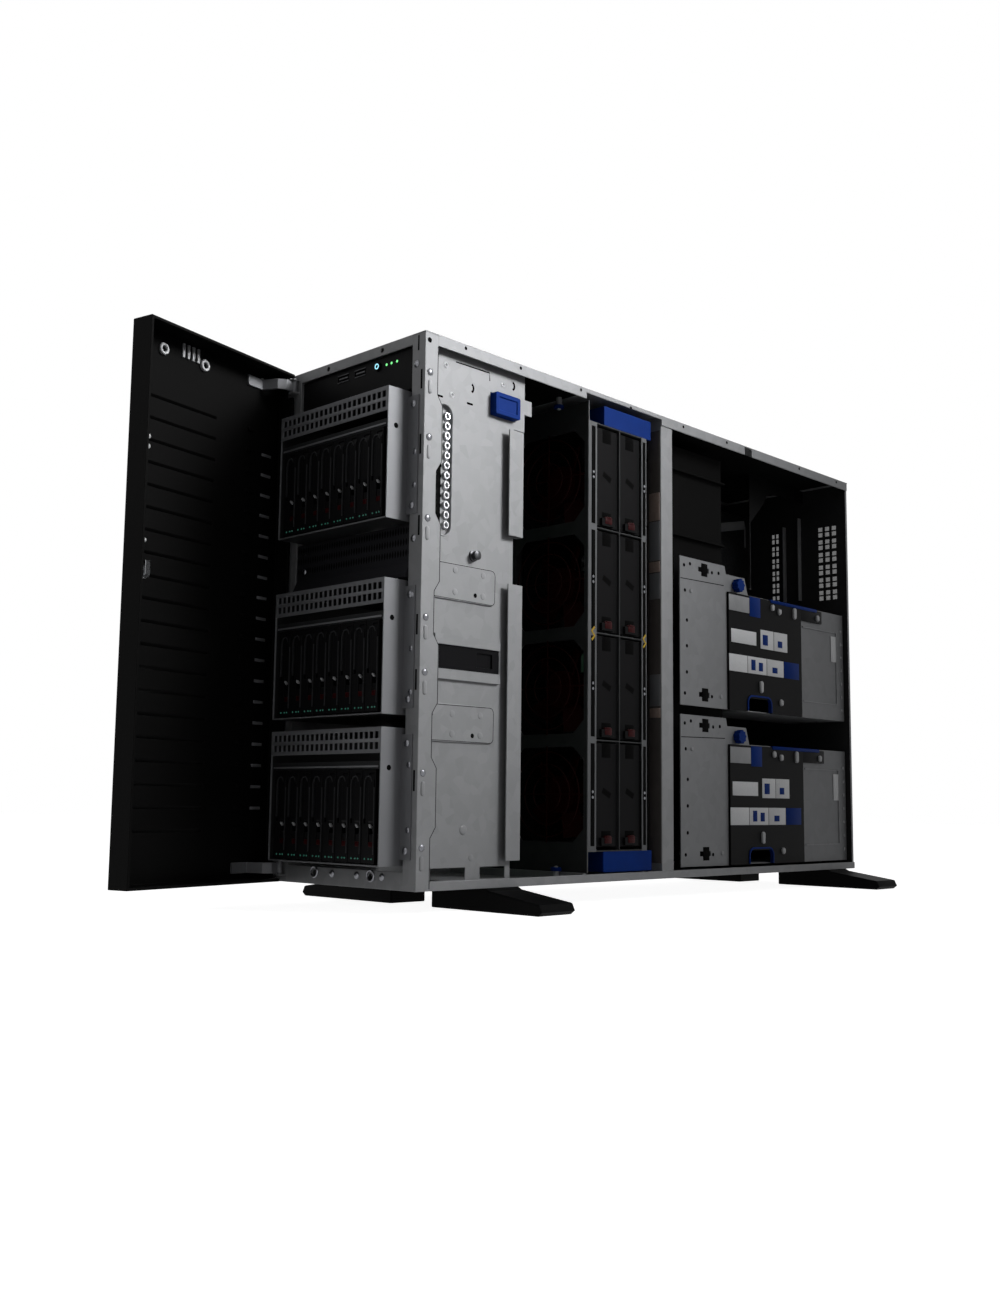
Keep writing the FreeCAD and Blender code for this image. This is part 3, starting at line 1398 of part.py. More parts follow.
def hinge_arms():
    """Cranked strips that hold the door to its hinge pins."""
    strip = [
        ("pin_radius", "0"),
        ("arm_near", "-arm_sheet/2"),
        ("arm_far", "-arm_crank"),
        ("arm_seat", f"{DOOR_FLOOR} + arm_sheet"),
        ("arm_reach", f"{DOOR_FLOOR} + arm_sheet"),
        ("arm_reach", DOOR_FLOOR),
        ("arm_seat - arm_sheet", DOOR_FLOOR),
        ("arm_far - arm_sheet", "-arm_crank - 0.75*arm_sheet"),
        ("arm_near - arm_sheet/2", "-1.5*arm_sheet"),
        ("pin_radius", "-1.1*arm_sheet"),
    ]
    arms = []
    for index, low in enumerate((ARM_LOW, ARM_HIGH)):
        web = prism(f"arm_web_{index}", "z", strip, low, f"{low} + arm_height")
        knuckle = rod(f"arm_knuckle_{index}", "z", "0", "0", low, "pin_radius + knuckle", "arm_height")
        bore = rod(f"arm_bore_{index}", "z", "0", "0", f"{low} - past", "pin_radius + pin_play",
                   "arm_height + 2*past")
        arms.append(cut(f"arm_{index}", fuse(f"arm_solid_{index}", web, knuckle), bore))
    node("hinge_arms", *arms, at=HINGE_AT, turn=DOOR_TURN)


chassis_floor()
left_wall()
chassis_top()
right_column()
centre_post()
rear_wall()
bay_wall()
side_latch()
drive_cages()
drives()
backplanes()
media_blanks()
control_panel()
fan_cage()
fan_handles()
fans()
system_board()
air_baffle()
riser_cages()
power_supply()
feet()
front_door()
door_lock()
hinge_arms()
doc.recompute()

# The origin is the bottom centre of the box round the whole object
whole = FreeCAD.BoundBox()
for part in NODES:
    whole.add(part.Shape.BoundBox)
sheet.set(ORIGIN_CELLS["origin_y"], str(round(whole.Center.y, 4)))
sheet.set(ORIGIN_CELLS["origin_z"], str(round(whole.ZMin, 4)))
doc.recompute()

failed = [thing.Name for thing in doc.Objects if {"Invalid", "Error"} & set(thing.State)]
failed += [part.Label for part in NODES if part.Shape.isNull() or not part.Shape.isValid()]
if failed:
    raise SystemExit("These pieces failed: " + ", ".join(failed))

os.makedirs("parts", exist_ok=True)
for part in NODES:
    part.Shape.exportStep(f"parts/{part.Label}.step")
print(len(NODES), "sub-parts; origin at y", sheet.get("origin_y"), "z", sheet.get("origin_z"))
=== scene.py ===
import math

import bmesh
import bpy
from mathutils import Matrix, Vector


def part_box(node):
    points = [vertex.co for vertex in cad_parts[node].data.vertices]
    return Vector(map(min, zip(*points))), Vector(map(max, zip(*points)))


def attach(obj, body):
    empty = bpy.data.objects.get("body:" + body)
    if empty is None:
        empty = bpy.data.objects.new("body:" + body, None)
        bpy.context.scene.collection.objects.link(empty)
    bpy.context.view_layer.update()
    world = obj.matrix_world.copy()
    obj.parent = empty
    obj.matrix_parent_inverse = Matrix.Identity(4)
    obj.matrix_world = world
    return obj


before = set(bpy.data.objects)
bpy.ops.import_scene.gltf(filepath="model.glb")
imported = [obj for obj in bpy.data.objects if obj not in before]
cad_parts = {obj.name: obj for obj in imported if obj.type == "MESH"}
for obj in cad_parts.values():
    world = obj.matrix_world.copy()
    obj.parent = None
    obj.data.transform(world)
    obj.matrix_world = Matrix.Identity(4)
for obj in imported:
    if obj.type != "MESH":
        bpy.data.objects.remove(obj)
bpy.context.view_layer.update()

# Chassis shell: floor, closed side, top, front column and centre post.
# Zinc-coated sheet steel 1.2 mm thick, punched and folded, then spot welded and riveted into an open box.
FACTOR, FIRST, SECOND = 0, 6, 7  # inputs of a Mix node for colours


def linear(code):
    """An sRGB hex colour as linear red, green and blue with full alpha."""
    levels = [int(code[start:start + 2], 16) / 255 for start in (1, 3, 5)]
    return tuple(v / 12.92 if v <= 0.04045 else ((v + 0.055) / 1.055) ** 2.4 for v in levels) + (1.0,)


def add(tree, kind, values=None, links=None, output=None):
    """Adds a shader node, sets its properties and sockets and links its inputs, each from a node's own output
    or a (node, socket) pair. The last shader names the output, Material or World, that shows it."""
    made = tree.nodes.new("ShaderNode" + kind)
    for key, value in (values or {}).items():
        if isinstance(key, str) and key in made.bl_rna.properties:
            setattr(made, key, value)
        else:
            made.inputs[key].default_value = value
    for key, source in (links or {}).items():
        if isinstance(source, tuple):
            giver = source[0].outputs[source[1]]
        else:
            giver = next(socket for socket in source.outputs if socket.enabled)
        tree.links.new(giver, made.inputs[key])
    if output:
        add(tree, "Output" + output, links={"Surface": made})
    return made


def new_finish(name):
    """A material with an empty tree, and the link that carries each surface point's place in metres."""
    finish = bpy.data.materials.new(name)
    finish.use_nodes = True
    tree = finish.node_tree
    tree.nodes.clear()
    return finish, tree, {"Vector": (add(tree, "TexCoord"), "Object")}


def repeats(size):
    """How often a pattern of so many millimetres repeats in a metre."""
    return 1000 / size


# Galvannealed sheet is dull: its fine zinc-iron crystals scatter most of the light, so only a part of it
# mirrors the room. Cloudy patches are about 9 mm wide; rolling lines are drawn twice as coarse as they are.
ZINC_TONES = {"data_type": "RGBA", FIRST: linear("#88898b"), SECOND: linear("#909193")}
zinc_steel, tree, where = new_finish("galvannealed_rolled_steel")
crystals = add(tree, "TexVoronoi", {"Scale": repeats(9)}, where)
handling = add(tree, "TexNoise", {"Scale": repeats(70), "Detail": 5, "Roughness": 0.6}, where)
rolling = add(tree, "Mapping", {"Scale": (repeats(1.6), repeats(90), repeats(1.6))}, where)
lines = add(tree, "TexNoise", {"Scale": 1, "Detail": 3}, {"Vector": rolling})
patch = add(tree, "Mix", ZINC_TONES, {FACTOR: (crystals, "Color")})
tone = add(tree, "Mix", {"data_type": "RGBA", "blend_type": "MULTIPLY", FACTOR: 0.15},
           {FIRST: patch, SECOND: handling})
gloss = add(tree, "MapRange", {"To Min": 0.42, "To Max": 0.58}, {"Value": handling})
relief = add(tree, "Bump", {"Strength": 0.1, "Distance": 0.0002}, {"Height": lines})
add(tree, "BsdfPrincipled", {"Metallic": 0.15, "Specular IOR Level": 0.1},
    {"Base Color": tone, "Roughness": gloss, "Normal": relief}, "Material")
FOLD_ANGLE = math.radians(40)


def dress(finish, *names, edge=0.25):
    """Gives solids of the frame their finish and breaks their sharp edges by so many millimetres."""
    for name in names:
        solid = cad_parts[name]
        for seat in solid.material_slots:
            seat.material = finish
        weld = solid.modifiers.new("joined_faces", "WELD")
        weld.merge_threshold = 0.000001
        broken = solid.modifiers.new("broken_edges", "BEVEL")
        broken.width = edge / 1000
        broken.segments = 2
        broken.limit_method = "ANGLE"
        broken.angle_limit = FOLD_ANGLE
        broken.use_clamp_overlap = False
        broken.harden_normals = False


dress(zinc_steel, "base_plate", "left_wall", "top_plate", "front_column", "centre_post", edge=0.4)


def clouded(tree, where, size, detail, dark, pale):
    """Clouds of so many millimetres, and the tone that they carry from a dark to a pale colour."""
    cloud = add(tree, "TexNoise", {"Scale": repeats(size), "Detail": detail}, where)
    tones = {"data_type": "RGBA", FIRST: linear(dark), SECOND: linear(pale)}
    return cloud, add(tree, "Mix", tones, {FACTOR: cloud})


# Nickel-plated steel of rivets and screws: brighter and smoother than the sheet, faintly streaked by turning.
nickel_steel, tree, where = new_finish("nickel_plated_turned_steel")
streaks, tone = clouded(tree, where, 0.8, 2, "#55565a", "#7d7e82")
gloss = add(tree, "MapRange", {"To Min": 0.2, "To Max": 0.38}, {"Value": streaks})
add(tree, "BsdfPrincipled", {"Metallic": 1.0},
    {"Base Color": tone, "Roughness": gloss}, "Material")

front_low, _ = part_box("base_plate")
SMOOTH_ANGLE = math.radians(35)


def spot(x, y, z):
    """A place in metres, from millimetres off the mid-plane, behind the front and above the underside."""
    return Vector((x / 1000, front_low.y + y / 1000, front_low.z + z / 1000))


def turned(mesh, centre, along, profile, sides=16, closed=False, stretch=(0, 0, 0)):
    """Spins a profile of (radius, height) pairs in millimetres about a line, stretched to a rounded block."""
    across = along.orthogonal().normalized()
    beside = along.cross(across)
    rings = []
    for radius, height in profile:
        ring = []
        for step in range(sides):
            turn = 2 * math.pi * step / sides
            away = across * math.cos(turn) + beside * math.sin(turn)
            corner = Vector([math.copysign(half, part) for half, part in zip(stretch, away)])
            ring.append(mesh.verts.new(centre + (along * height + away * radius + corner) / 1000))
        rings.append(ring)
    loops = list(zip(rings, rings[1:]))
    if closed:
        loops.append((rings[-1], rings[0]))
    for low, high in loops:
        for step in range(sides):
            following = (step + 1) % sides
            mesh.faces.new((low[step], low[following], high[following], high[step]))
    if not closed:
        mesh.faces.new(list(reversed(rings[0])))
        mesh.faces.new(rings[-1])


def piece(name, mesh, finish, body):
    """Ends a piece: clean normals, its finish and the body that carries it."""
    bmesh.ops.recalc_face_normals(mesh, faces=mesh.faces)
    data = bpy.data.meshes.new(name)
    mesh.to_mesh(data)
    mesh.free()
    data.shade_smooth()
    data.set_sharp_from_angle(angle=SMOOTH_ANGLE)
    data.materials.append(finish)
    made = bpy.data.objects.new(name, data)
    bpy.context.collection.objects.link(made)
    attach(made, body)


RIGHT = Vector((1, 0, 0))
FRONT = Vector((0, -1, 0))


def on_side(mesh, face, places, profile, rise=0, **shape):
    """Turns like profiles on a face of the open side, each so far behind the front and above the floor."""
    for place_y, level in places:
        turned(mesh, spot(face, place_y, rise + level), RIGHT, profile, **shape)


COLUMN_SIDE = 87.4
SIDE_LEVELS = (406.7, 353.8, 288.7, 210.4, 167.4, 89.8, 33.0)
SIDE_RIVETS = [(5.5, level) for level in SIDE_LEVELS]
FRONT_RIVETS = (414.2, 342.4, 315.8, 273.1, 228.0, 186.0, 152.0, 96.0, 46.0)
FRONT_RIVET_SIDE = 77.6
RIVET_HEAD = [(3.0, 0), (3.0, 0.4), (2.4, 1.0), (1.2, 1.35), (0.3, 1.4)]
EMBOSS = [(2.1, 0), (1.9, 0.5), (1.2, 0.9), (0.3, 1.0)]
EMBOSS_DROP = 12
fasteners = bmesh.new()
embosses = bmesh.new()
on_side(fasteners, COLUMN_SIDE, SIDE_RIVETS, RIVET_HEAD)
on_side(embosses, COLUMN_SIDE, SIDE_RIVETS, EMBOSS, -EMBOSS_DROP, stretch=(0, 0, 3.6))
for level in FRONT_RIVETS:
    turned(fasteners, spot(FRONT_RIVET_SIDE, 0, level), FRONT, RIVET_HEAD)
piece("column_rivets", fasteners, nickel_steel, "chassis")
piece("column_embosses", embosses, zinc_steel, "chassis")


def mottled_finish(name, size, detail, dark, pale, shader):
    """A finish of one clouded tone; the shader's other settings are the same all over."""
    finish, tree, where = new_finish(name)
    tone = clouded(tree, where, size, detail, dark, pale)[1]
    add(tree, "BsdfPrincipled", shader, {"Base Color": tone}, "Material")
    return finish


def bar(mesh, low, high, edge=0.3):
    """A block between two corners in millimetres, with its edges rounded."""
    corners = bmesh.ops.create_cube(mesh, size=1)["verts"]
    low, high = spot(*low), spot(*high)
    for corner in corners:
        corner.co = Vector([low[i] if corner.co[i] < 0 else high[i] for i in range(3)])
    edges = list(dict.fromkeys(side for corner in corners for side in corner.link_edges))
    bmesh.ops.bevel(mesh, geom=edges, offset=edge / 1000, segments=2, affect="EDGES", profile=0.5)


def ribbon(mesh, path, along, half, low, high):
    """A strip bent along a path of places, so many millimetres to each side and from low to high over it."""
    places = [spot(*place) for place in path]
    rows = []
    for index, place in enumerate(places):
        heading = places[min(index + 1, len(places) - 1)] - places[max(index - 1, 0)]
        side = along.cross(heading).normalized() * half
        rows.append([mesh.verts.new(place + (side * sign + along * height) / 1000)
                     for sign, height in ((-1, low), (1, low), (1, high), (-1, high))])
    for first, second in zip(rows, rows[1:]):
        for corner in range(4):
            following = (corner + 1) % 4
            mesh.faces.new((first[corner], first[following], second[following], second[corner]))
    mesh.faces.new(rows[0])
    mesh.faces.new(list(reversed(rows[-1])))


# Punched holes and slots open on the unlit inside of a fold; they, grooves and pockets are drawn flat in
# painted shade: dull, nearly black and slightly dusty.
# The same painted shade draws thin shadow lines along gaps.
unlit_hole = mottled_finish("unlit_punched_hole", 1.5, 3, "#020202", "#080808",
                            {"Roughness": 0.9, "Specular IOR Level": 0.03})

HOLE = [(2.2, 0.02), (2.2, 0.1)]
LIP_HOLE = [(1.5, 0.02), (1.5, 0.1)]
LIP_HOLES = [(place_y, 436.6) for place_y in (44.7, 110.7, 190, 262, 345, 420, 560, 640)]
FLANGE_EDGE, BULGE_EDGE = 13.9, 19.4
BULGE_LOWS = (40, 136, 232, 328)
BULGE_OUTLINE = ((FLANGE_EDGE, 0), (BULGE_EDGE, 8.2), (BULGE_EDGE, 53.8), (FLANGE_EDGE, 62))
FLANGE_ENDS = (1.5, 430)
punched = bmesh.new()
turned(punched, spot(COLUMN_SIDE, 4.5, 432.8), RIGHT, HOLE)
on_side(punched, COLUMN_SIDE, LIP_HOLES, LIP_HOLE)
bar(punched, (78.6, -0.1, 425), (80.2, 0.2, 437.5), 0.05)
for level in SIDE_LEVELS[:-1]:
    bar(punched, (82.5, -0.1, level - 14), (84.5, 0.2, level + 2), 0.05)
# A thin dark line along the waved rear edge of the side flange: painted shadow of the gap between flange and
# wall.
flange_gap_shadow = [(COLUMN_SIDE, FLANGE_EDGE, FLANGE_ENDS[0])]
flange_gap_shadow += [(COLUMN_SIDE, place_y, low + rise) for low in BULGE_LOWS for place_y, rise in BULGE_OUTLINE]
flange_gap_shadow.append((COLUMN_SIDE, FLANGE_EDGE, FLANGE_ENDS[1]))
ribbon(punched, flange_gap_shadow, RIGHT, 0.3, -0.1, 0.06)
piece("column_holes", punched, unlit_hole, "chassis")

LIP_RING = [(3.4, 0), (3.4, 0.9), (4.2, 1.1), (5.0, 0.5), (5.0, 0)]
lip_rings = bmesh.new()
for side in (-35.2, 35.3):
    turned(lip_rings, spot(side, 0, 9.9), FRONT, LIP_RING, sides=24, closed=True)
for side in (-12.5, 18.3, 48.7):
    turned(lip_rings, spot(side, 0, 9.5), FRONT, RIVET_HEAD)
piece("base_lip_rings", lip_rings, nickel_steel, "chassis")

# Black sheets inside the closed side and under the top: painted shade that makes the open bays look dark.
# Matt and slightly rippled; the same black also serves the air baffle and the trough's painted shade.
black_film_and_shade, tree, where = new_finish("matt_black_film_and_painted_shade")
ripple, tone = clouded(tree, where, 45, 3, "#010101", "#040404")
relief = add(tree, "Bump", {"Strength": 0.3, "Distance": 0.0006}, {"Height": ripple})
add(tree, "BsdfPrincipled", {"Roughness": 0.7, "Specular IOR Level": 0.03},
    {"Base Color": tone, "Normal": relief}, "Material")
SHADE_SHEETS = (((-86.15, 122, 16), (-85.9, 300, 432)), ((-86.15, 475, 302), (-85.9, 655, 329)),
               ((-70, 125, 438.5), (70, 204, 438.75)), ((-70, 330, 438.5), (70, 655, 438.75)))
bay_shade = bmesh.new()
for low, high in SHADE_SHEETS:
    bar(bay_shade, low, high, 0.05)
piece("bay_painted_shade", bay_shade, black_film_and_shade, "chassis")

# Drive bay wall: a flat zinc-coated sheet with a pressed trough, riveted patches and hooked rear strips.
# Eyelets for cable ties are swaged into the trough; rivets, slots and crescents are pressed or punched.
dress(zinc_steel, "bay_wall")
# Tinned brass of the eyelets: the brightest metal on the wall, smooth, with a faint cloud.
tinned_brass = mottled_finish("tin_plated_swaged_brass", 1.2, 2, "#b9babd", "#d6d7da",
                              {"Metallic": 1.0, "Roughness": 0.3})
WALL_SIDE = 80.0
PATCH_FACE = 81.5
TROUGH_FLOOR = 77.0
TROUGH_MIDDLE = 333.5
TROUGH_STRETCH = (0, 0, 45)
EYELET_LEVELS = [288.9 + step * 8.15 for step in range(12)]
EYELET = [(1.7, 0.2), (1.7, 1.9), (2.1, 2.5), (2.8, 2.5), (3.3, 1.9), (3.5, 0.2)]
RIVET_RING = [(1.0, 0), (1.0, 0.6), (1.5, 0.9), (2.3, 0.5), (2.3, 0)]
eyelets = bmesh.new()
on_side(eyelets, TROUGH_FLOOR, [(33.4, level) for level in EYELET_LEVELS], EYELET, sides=24, closed=True)
on_side(eyelets, WALL_SIDE, ((29.5, 420.4), (36.8, 397.0), (96.5, 420.0)), RIVET_RING, closed=True)
piece("wall_eyelets", eyelets, tinned_brass, "chassis")

FLUSH_RIVET = [(2.7, 0), (2.7, 0.25), (2.2, 0.4), (0.4, 0.4)]
PATCH_RIVETS = ((42.4, 253), (74.4, 252.7), (42.4, 235.3), (74.4, 235.3),
                (41.5, 137.3), (73, 137.5), (41.5, 121.4), (73, 121.4))
DIMPLE = [(4.2, 0), (3.8, 0.5), (2.6, 0.9), (0.5, 1)]
TROUGH_RIM = [(8.6, 0), (8.8, 0.5), (9.4, 0.6), (9.9, 0)]
rivets = bmesh.new()
on_side(rivets, PATCH_FACE, PATCH_RIVETS, FLUSH_RIVET)
turned(rivets, spot(WALL_SIDE, 56.6, 46.1), RIGHT, DIMPLE)
turned(rivets, spot(WALL_SIDE, 66, 23.9), RIGHT, FLUSH_RIVET)
turned(rivets, spot(WALL_SIDE, 29, TROUGH_MIDDLE), RIGHT, TROUGH_RIM,
       sides=32, closed=True, stretch=TROUGH_STRETCH)
piece("wall_rivets", rivets, zinc_steel, "chassis")

CRESCENT = [math.radians(turn) for turn in (-70, -35, 0, 35, 70)]
CORNER_LINE = ((WALL_SIDE, 40.8, 425.8), (WALL_SIDE, 80.2, 426.3), (WALL_SIDE, 80.6, 419.5))
PATCH_HOLES = ((18.2, 252.8), (65.3, 235), (18.2, 135.8), (64.1, 120.9))
PATCH_MIDDLES = ((52.5, 130), (52.5, 243.5))
PATCH_STRETCH = (0, 31.5, 10)
FLUSH_HOLE = [(1.9, 0.02), (1.9, 0.12)]
TROUGH_HOLE = [(2.4, 0.02), (2.4, 0.4)]
SLIT = [(0.9, 0.02), (0.9, 0.1)]
# Around each riveted patch a thin dark ring: painted shadow line along the patch's edge.
PATCH_SHADOW_LINE = [(4.1, -0.1), (4.1, 0.05), (4.6, 0.05), (4.6, -0.1)]
wall_holes = bmesh.new()
on_side(wall_holes, PATCH_FACE, PATCH_HOLES, FLUSH_HOLE)
on_side(wall_holes, PATCH_FACE, PATCH_MIDDLES, PATCH_SHADOW_LINE, closed=True, stretch=PATCH_STRETCH)
on_side(wall_holes, TROUGH_FLOOR, [(26.6, level) for level in EYELET_LEVELS], TROUGH_HOLE, -1)
on_side(wall_holes, WALL_SIDE, ((23.5, 393.0), (57.5, 394.3)), SLIT, stretch=(0, 2.6, 0))
ribbon(wall_holes, CORNER_LINE, RIGHT, 0.5, 0, 0.1)
for place_y, level in ((58.4, 408.1), (107.6, 421.8)):
    arc = [(WALL_SIDE, place_y + 3.2 * math.cos(turn), level + 3.6 * math.sin(turn)) for turn in CRESCENT]
    ribbon(wall_holes, arc, RIGHT, 1.0, 0, 0.1)
piece("wall_holes", wall_holes, unlit_hole, "chassis")

# Trough shade: a black strip on the front half of the trough floor, painted shade where the trough's wall
# shades it.
TROUGH_SHADE_PROFILE = [(3.6, 0), (3.6, 0.25), (3.2, 0.3)]
trough_shade = bmesh.new()
turned(trough_shade, spot(TROUGH_FLOOR, 25, TROUGH_MIDDLE), RIGHT, TROUGH_SHADE_PROFILE, stretch=TROUGH_STRETCH)
piece("trough_painted_shade", trough_shade, black_film_and_shade, "chassis")

# Cover plunger: a turned steel pin on a spring, screwed into the wall, that locks the side cover.
# Black-oxide steel is dark and half glossy, with bare metal where it is pulled.
oxide_steel = mottled_finish("black_oxide_turned_steel", 2.5, 3, "#1d1d1f", "#4b4c4e",
                             {"Metallic": 1.0, "Roughness": 0.35})
PLUNGER = [(4.6, 0), (4.6, 1.2), (3.4, 1.6), (3.0, 4.4), (3.8, 4.8), (3.8, 6.0), (2.6, 6.4), (0.4, 6.5)]
plunger = bmesh.new()
turned(plunger, spot(WALL_SIDE, 63.5, 267.6), RIGHT, PLUNGER, sides=24)
piece("cover_plunger", plunger, oxide_steel, "chassis")

# Side latch: a push button moulded in blue plastic, the colour of every part that a technician may touch.
# It sits in a window of the wall, on a spring.
# Blue ABS moulded in a fine-grained tool: an even, saturated colour with a very low gloss.
blue_abs, tree, where = new_finish("blue_moulded_abs")
grain = add(tree, "TexNoise", {"Scale": repeats(0.5), "Detail": 2}, where)
tone = clouded(tree, where, 18, 3, "#062461", "#0b2f78")[1]
relief = add(tree, "Bump", {"Strength": 0.15, "Distance": 0.0001}, {"Height": grain})
add(tree, "BsdfPrincipled", {"Roughness": 0.5, "IOR": 1.54, "Specular IOR Level": 0.03},
    {"Base Color": tone, "Normal": relief}, "Material")
dress(blue_abs, "side_latch", edge=0.5)

# Drive cages: three folded boxes of thin coated steel, with a vented head and ears screwed to the columns.
# Grey passivated steel: a little darker than the chassis, with a soft even sheen and fine rolling lines, and
# painted shade, near black, on everything set back between the sides.
CAGE_LOWS = (287.5, 134.5, 18.5)
CAGE_HEIGHT = 106.0
CAGE_SIDE = 69.5
CAGE_FRONT = -22.0
HEAD_BACK = front_low.y - 0.0208
INSIDE_HALF = 0.0687


def inside(tree, where, **limits):
    """One where a surface point's X, Y and Z in metres lie between their limits, nought elsewhere."""
    axes = add(tree, "SeparateXYZ", links=where)
    tests = [(test, axis, limit) for axis, span in limits.items()
             for test, limit in zip(("GREATER_THAN", "LESS_THAN"), span) if limit is not None]
    passed = [add(tree, "Math", {"operation": test, 1: limit}, {0: (axes, axis)})
              for test, axis, limit in tests]
    share = passed[0]
    for further in passed[1:]:
        share = add(tree, "Math", {"operation": "MULTIPLY"}, {0: share, 1: further})
    return share


cage_steel, tree, where = new_finish("grey_passivated_sheet_steel")
handling, bright = clouded(tree, where, 40, 4, "#727376", "#7e7f82")
rolling = add(tree, "Mapping", {"Scale": (repeats(60), repeats(1.4), repeats(1.4))}, where)
lines = add(tree, "TexNoise", {"Scale": 1, "Detail": 3}, {"Vector": rolling})
# Painted shade: near black on everything behind the cage head and between its sides.
set_back_shade = inside(tree, where, Y=(HEAD_BACK, None), X=(-INSIDE_HALF, INSIDE_HALF))
tone = add(tree, "Mix", {"data_type": "RGBA", SECOND: linear("#2b2c2d")},
           {FACTOR: set_back_shade, FIRST: bright})
gloss = add(tree, "MapRange", {"To Min": 0.38, "To Max": 0.55}, {"Value": handling})
relief = add(tree, "Bump", {"Strength": 0.1, "Distance": 0.0002}, {"Height": lines})
add(tree, "BsdfPrincipled", {"Metallic": 0.15, "Specular IOR Level": 0.1},
    {"Base Color": tone, "Roughness": gloss, "Normal": relief}, "Material")
dress(cage_steel, "drive_cage_1", "drive_cage_2", "drive_cage_3", edge=0.2)
EAR_SIDE = 75.5
SCREW_INSET = 12
ear_screws = bmesh.new()
flange_holes = bmesh.new()
vent_bars = bmesh.new()
for low in CAGE_LOWS:
    for level in (low + SCREW_INSET, low + CAGE_HEIGHT - SCREW_INSET):
        for side in (-EAR_SIDE, EAR_SIDE):
            turned(ear_screws, spot(side, -1, level), FRONT, RIVET_HEAD)
    turned(flange_holes, spot(CAGE_SIDE, -13.5, low + 75), RIGHT, HOLE)
    bar(vent_bars, (-67.5, CAGE_FRONT - 0.04, low + 94.4), (67.5, CAGE_FRONT + 0.9, low + 97.2), 0.1)
    bar(vent_bars, (-66, CAGE_FRONT + 0.5, low + 75.2), (66, CAGE_FRONT + 1.1, low + 76.6), 0.1)
piece("cage_screws", ear_screws, nickel_steel, "chassis")
piece("cage_holes", flange_holes, unlit_hole, "chassis")
piece("cage_vent_bars", vent_bars, cage_steel, "chassis")

# Hot-plug drives: a moulded carrier bezel with a lever in front of a metal drive, eight to a cage.
# The carrier snaps round the drive; three light pipes sit at its foot and a release tab above them.
# Black glass-filled nylon on the bezel, a cast aluminium case behind it: matt and speckled, then dull metal.
BEZEL_BACK = front_low.y - 0.0055
carrier_black, tree, where = new_finish("black_filled_nylon_and_cast_aluminium")
is_case = inside(tree, where, Y=(BEZEL_BACK, None))
speckle, nylon = clouded(tree, where, 0.7, 3, "#030304", "#0a0a0b")
cast = add(tree, "Mix", {"data_type": "RGBA", FIRST: linear("#77797c"), SECOND: linear("#8d8f92")},
           {FACTOR: speckle})
tone = add(tree, "Mix", {"data_type": "RGBA"},
           {FACTOR: is_case, FIRST: nylon, SECOND: cast})
relief = add(tree, "Bump", {"Strength": 0.25, "Distance": 0.0001}, {"Height": speckle})
add(tree, "BsdfPrincipled", {"Roughness": 0.5, "Specular IOR Level": 0.07},
    {"Base Color": tone, "Metallic": is_case, "Normal": relief}, "Material")
# Light grey nylon of the lever's catch: a pale tick on each bezel, slightly rough.
grey_nylon = mottled_finish("light_grey_moulded_nylon", 0.9, 2, "#8f9092", "#b4b5b7",
                            {"Roughness": 0.5, "IOR": 1.53})
# Lever edges: a thin bent strip and an upright line on each bezel, drawn dark grey as painted highlight of
# the lever's rounded edges; they only just stand off the black bezel.
lever_highlight_grey = mottled_finish("grey_painted_lever_highlight", 0.9, 2, "#242526", "#323335",
                             {"Roughness": 0.5, "IOR": 1.53, "Specular IOR Level": 0.15})
# Maroon acetal marks what may be pulled while the machine runs: deep red, waxy, low gloss.
maroon_acetal = mottled_finish("maroon_moulded_acetal", 3, 3, "#1e0305", "#340608",
                               {"Roughness": 0.45, "IOR": 1.48, "Specular IOR Level": 0.05})


def lamp_lens(name, dark, lit, strength):
    """Clear polycarbonate light pipe with a lit die behind it: frosted, and coloured all through."""
    finish, tree, where = new_finish(name)
    glow = clouded(tree, where, 0.6, 2, dark, lit)[1]
    add(tree, "BsdfPrincipled", {"Roughness": 0.25, "IOR": 1.585, "Emission Strength": strength},
        {"Base Color": glow, "Emission Color": glow}, "Material")
    return finish


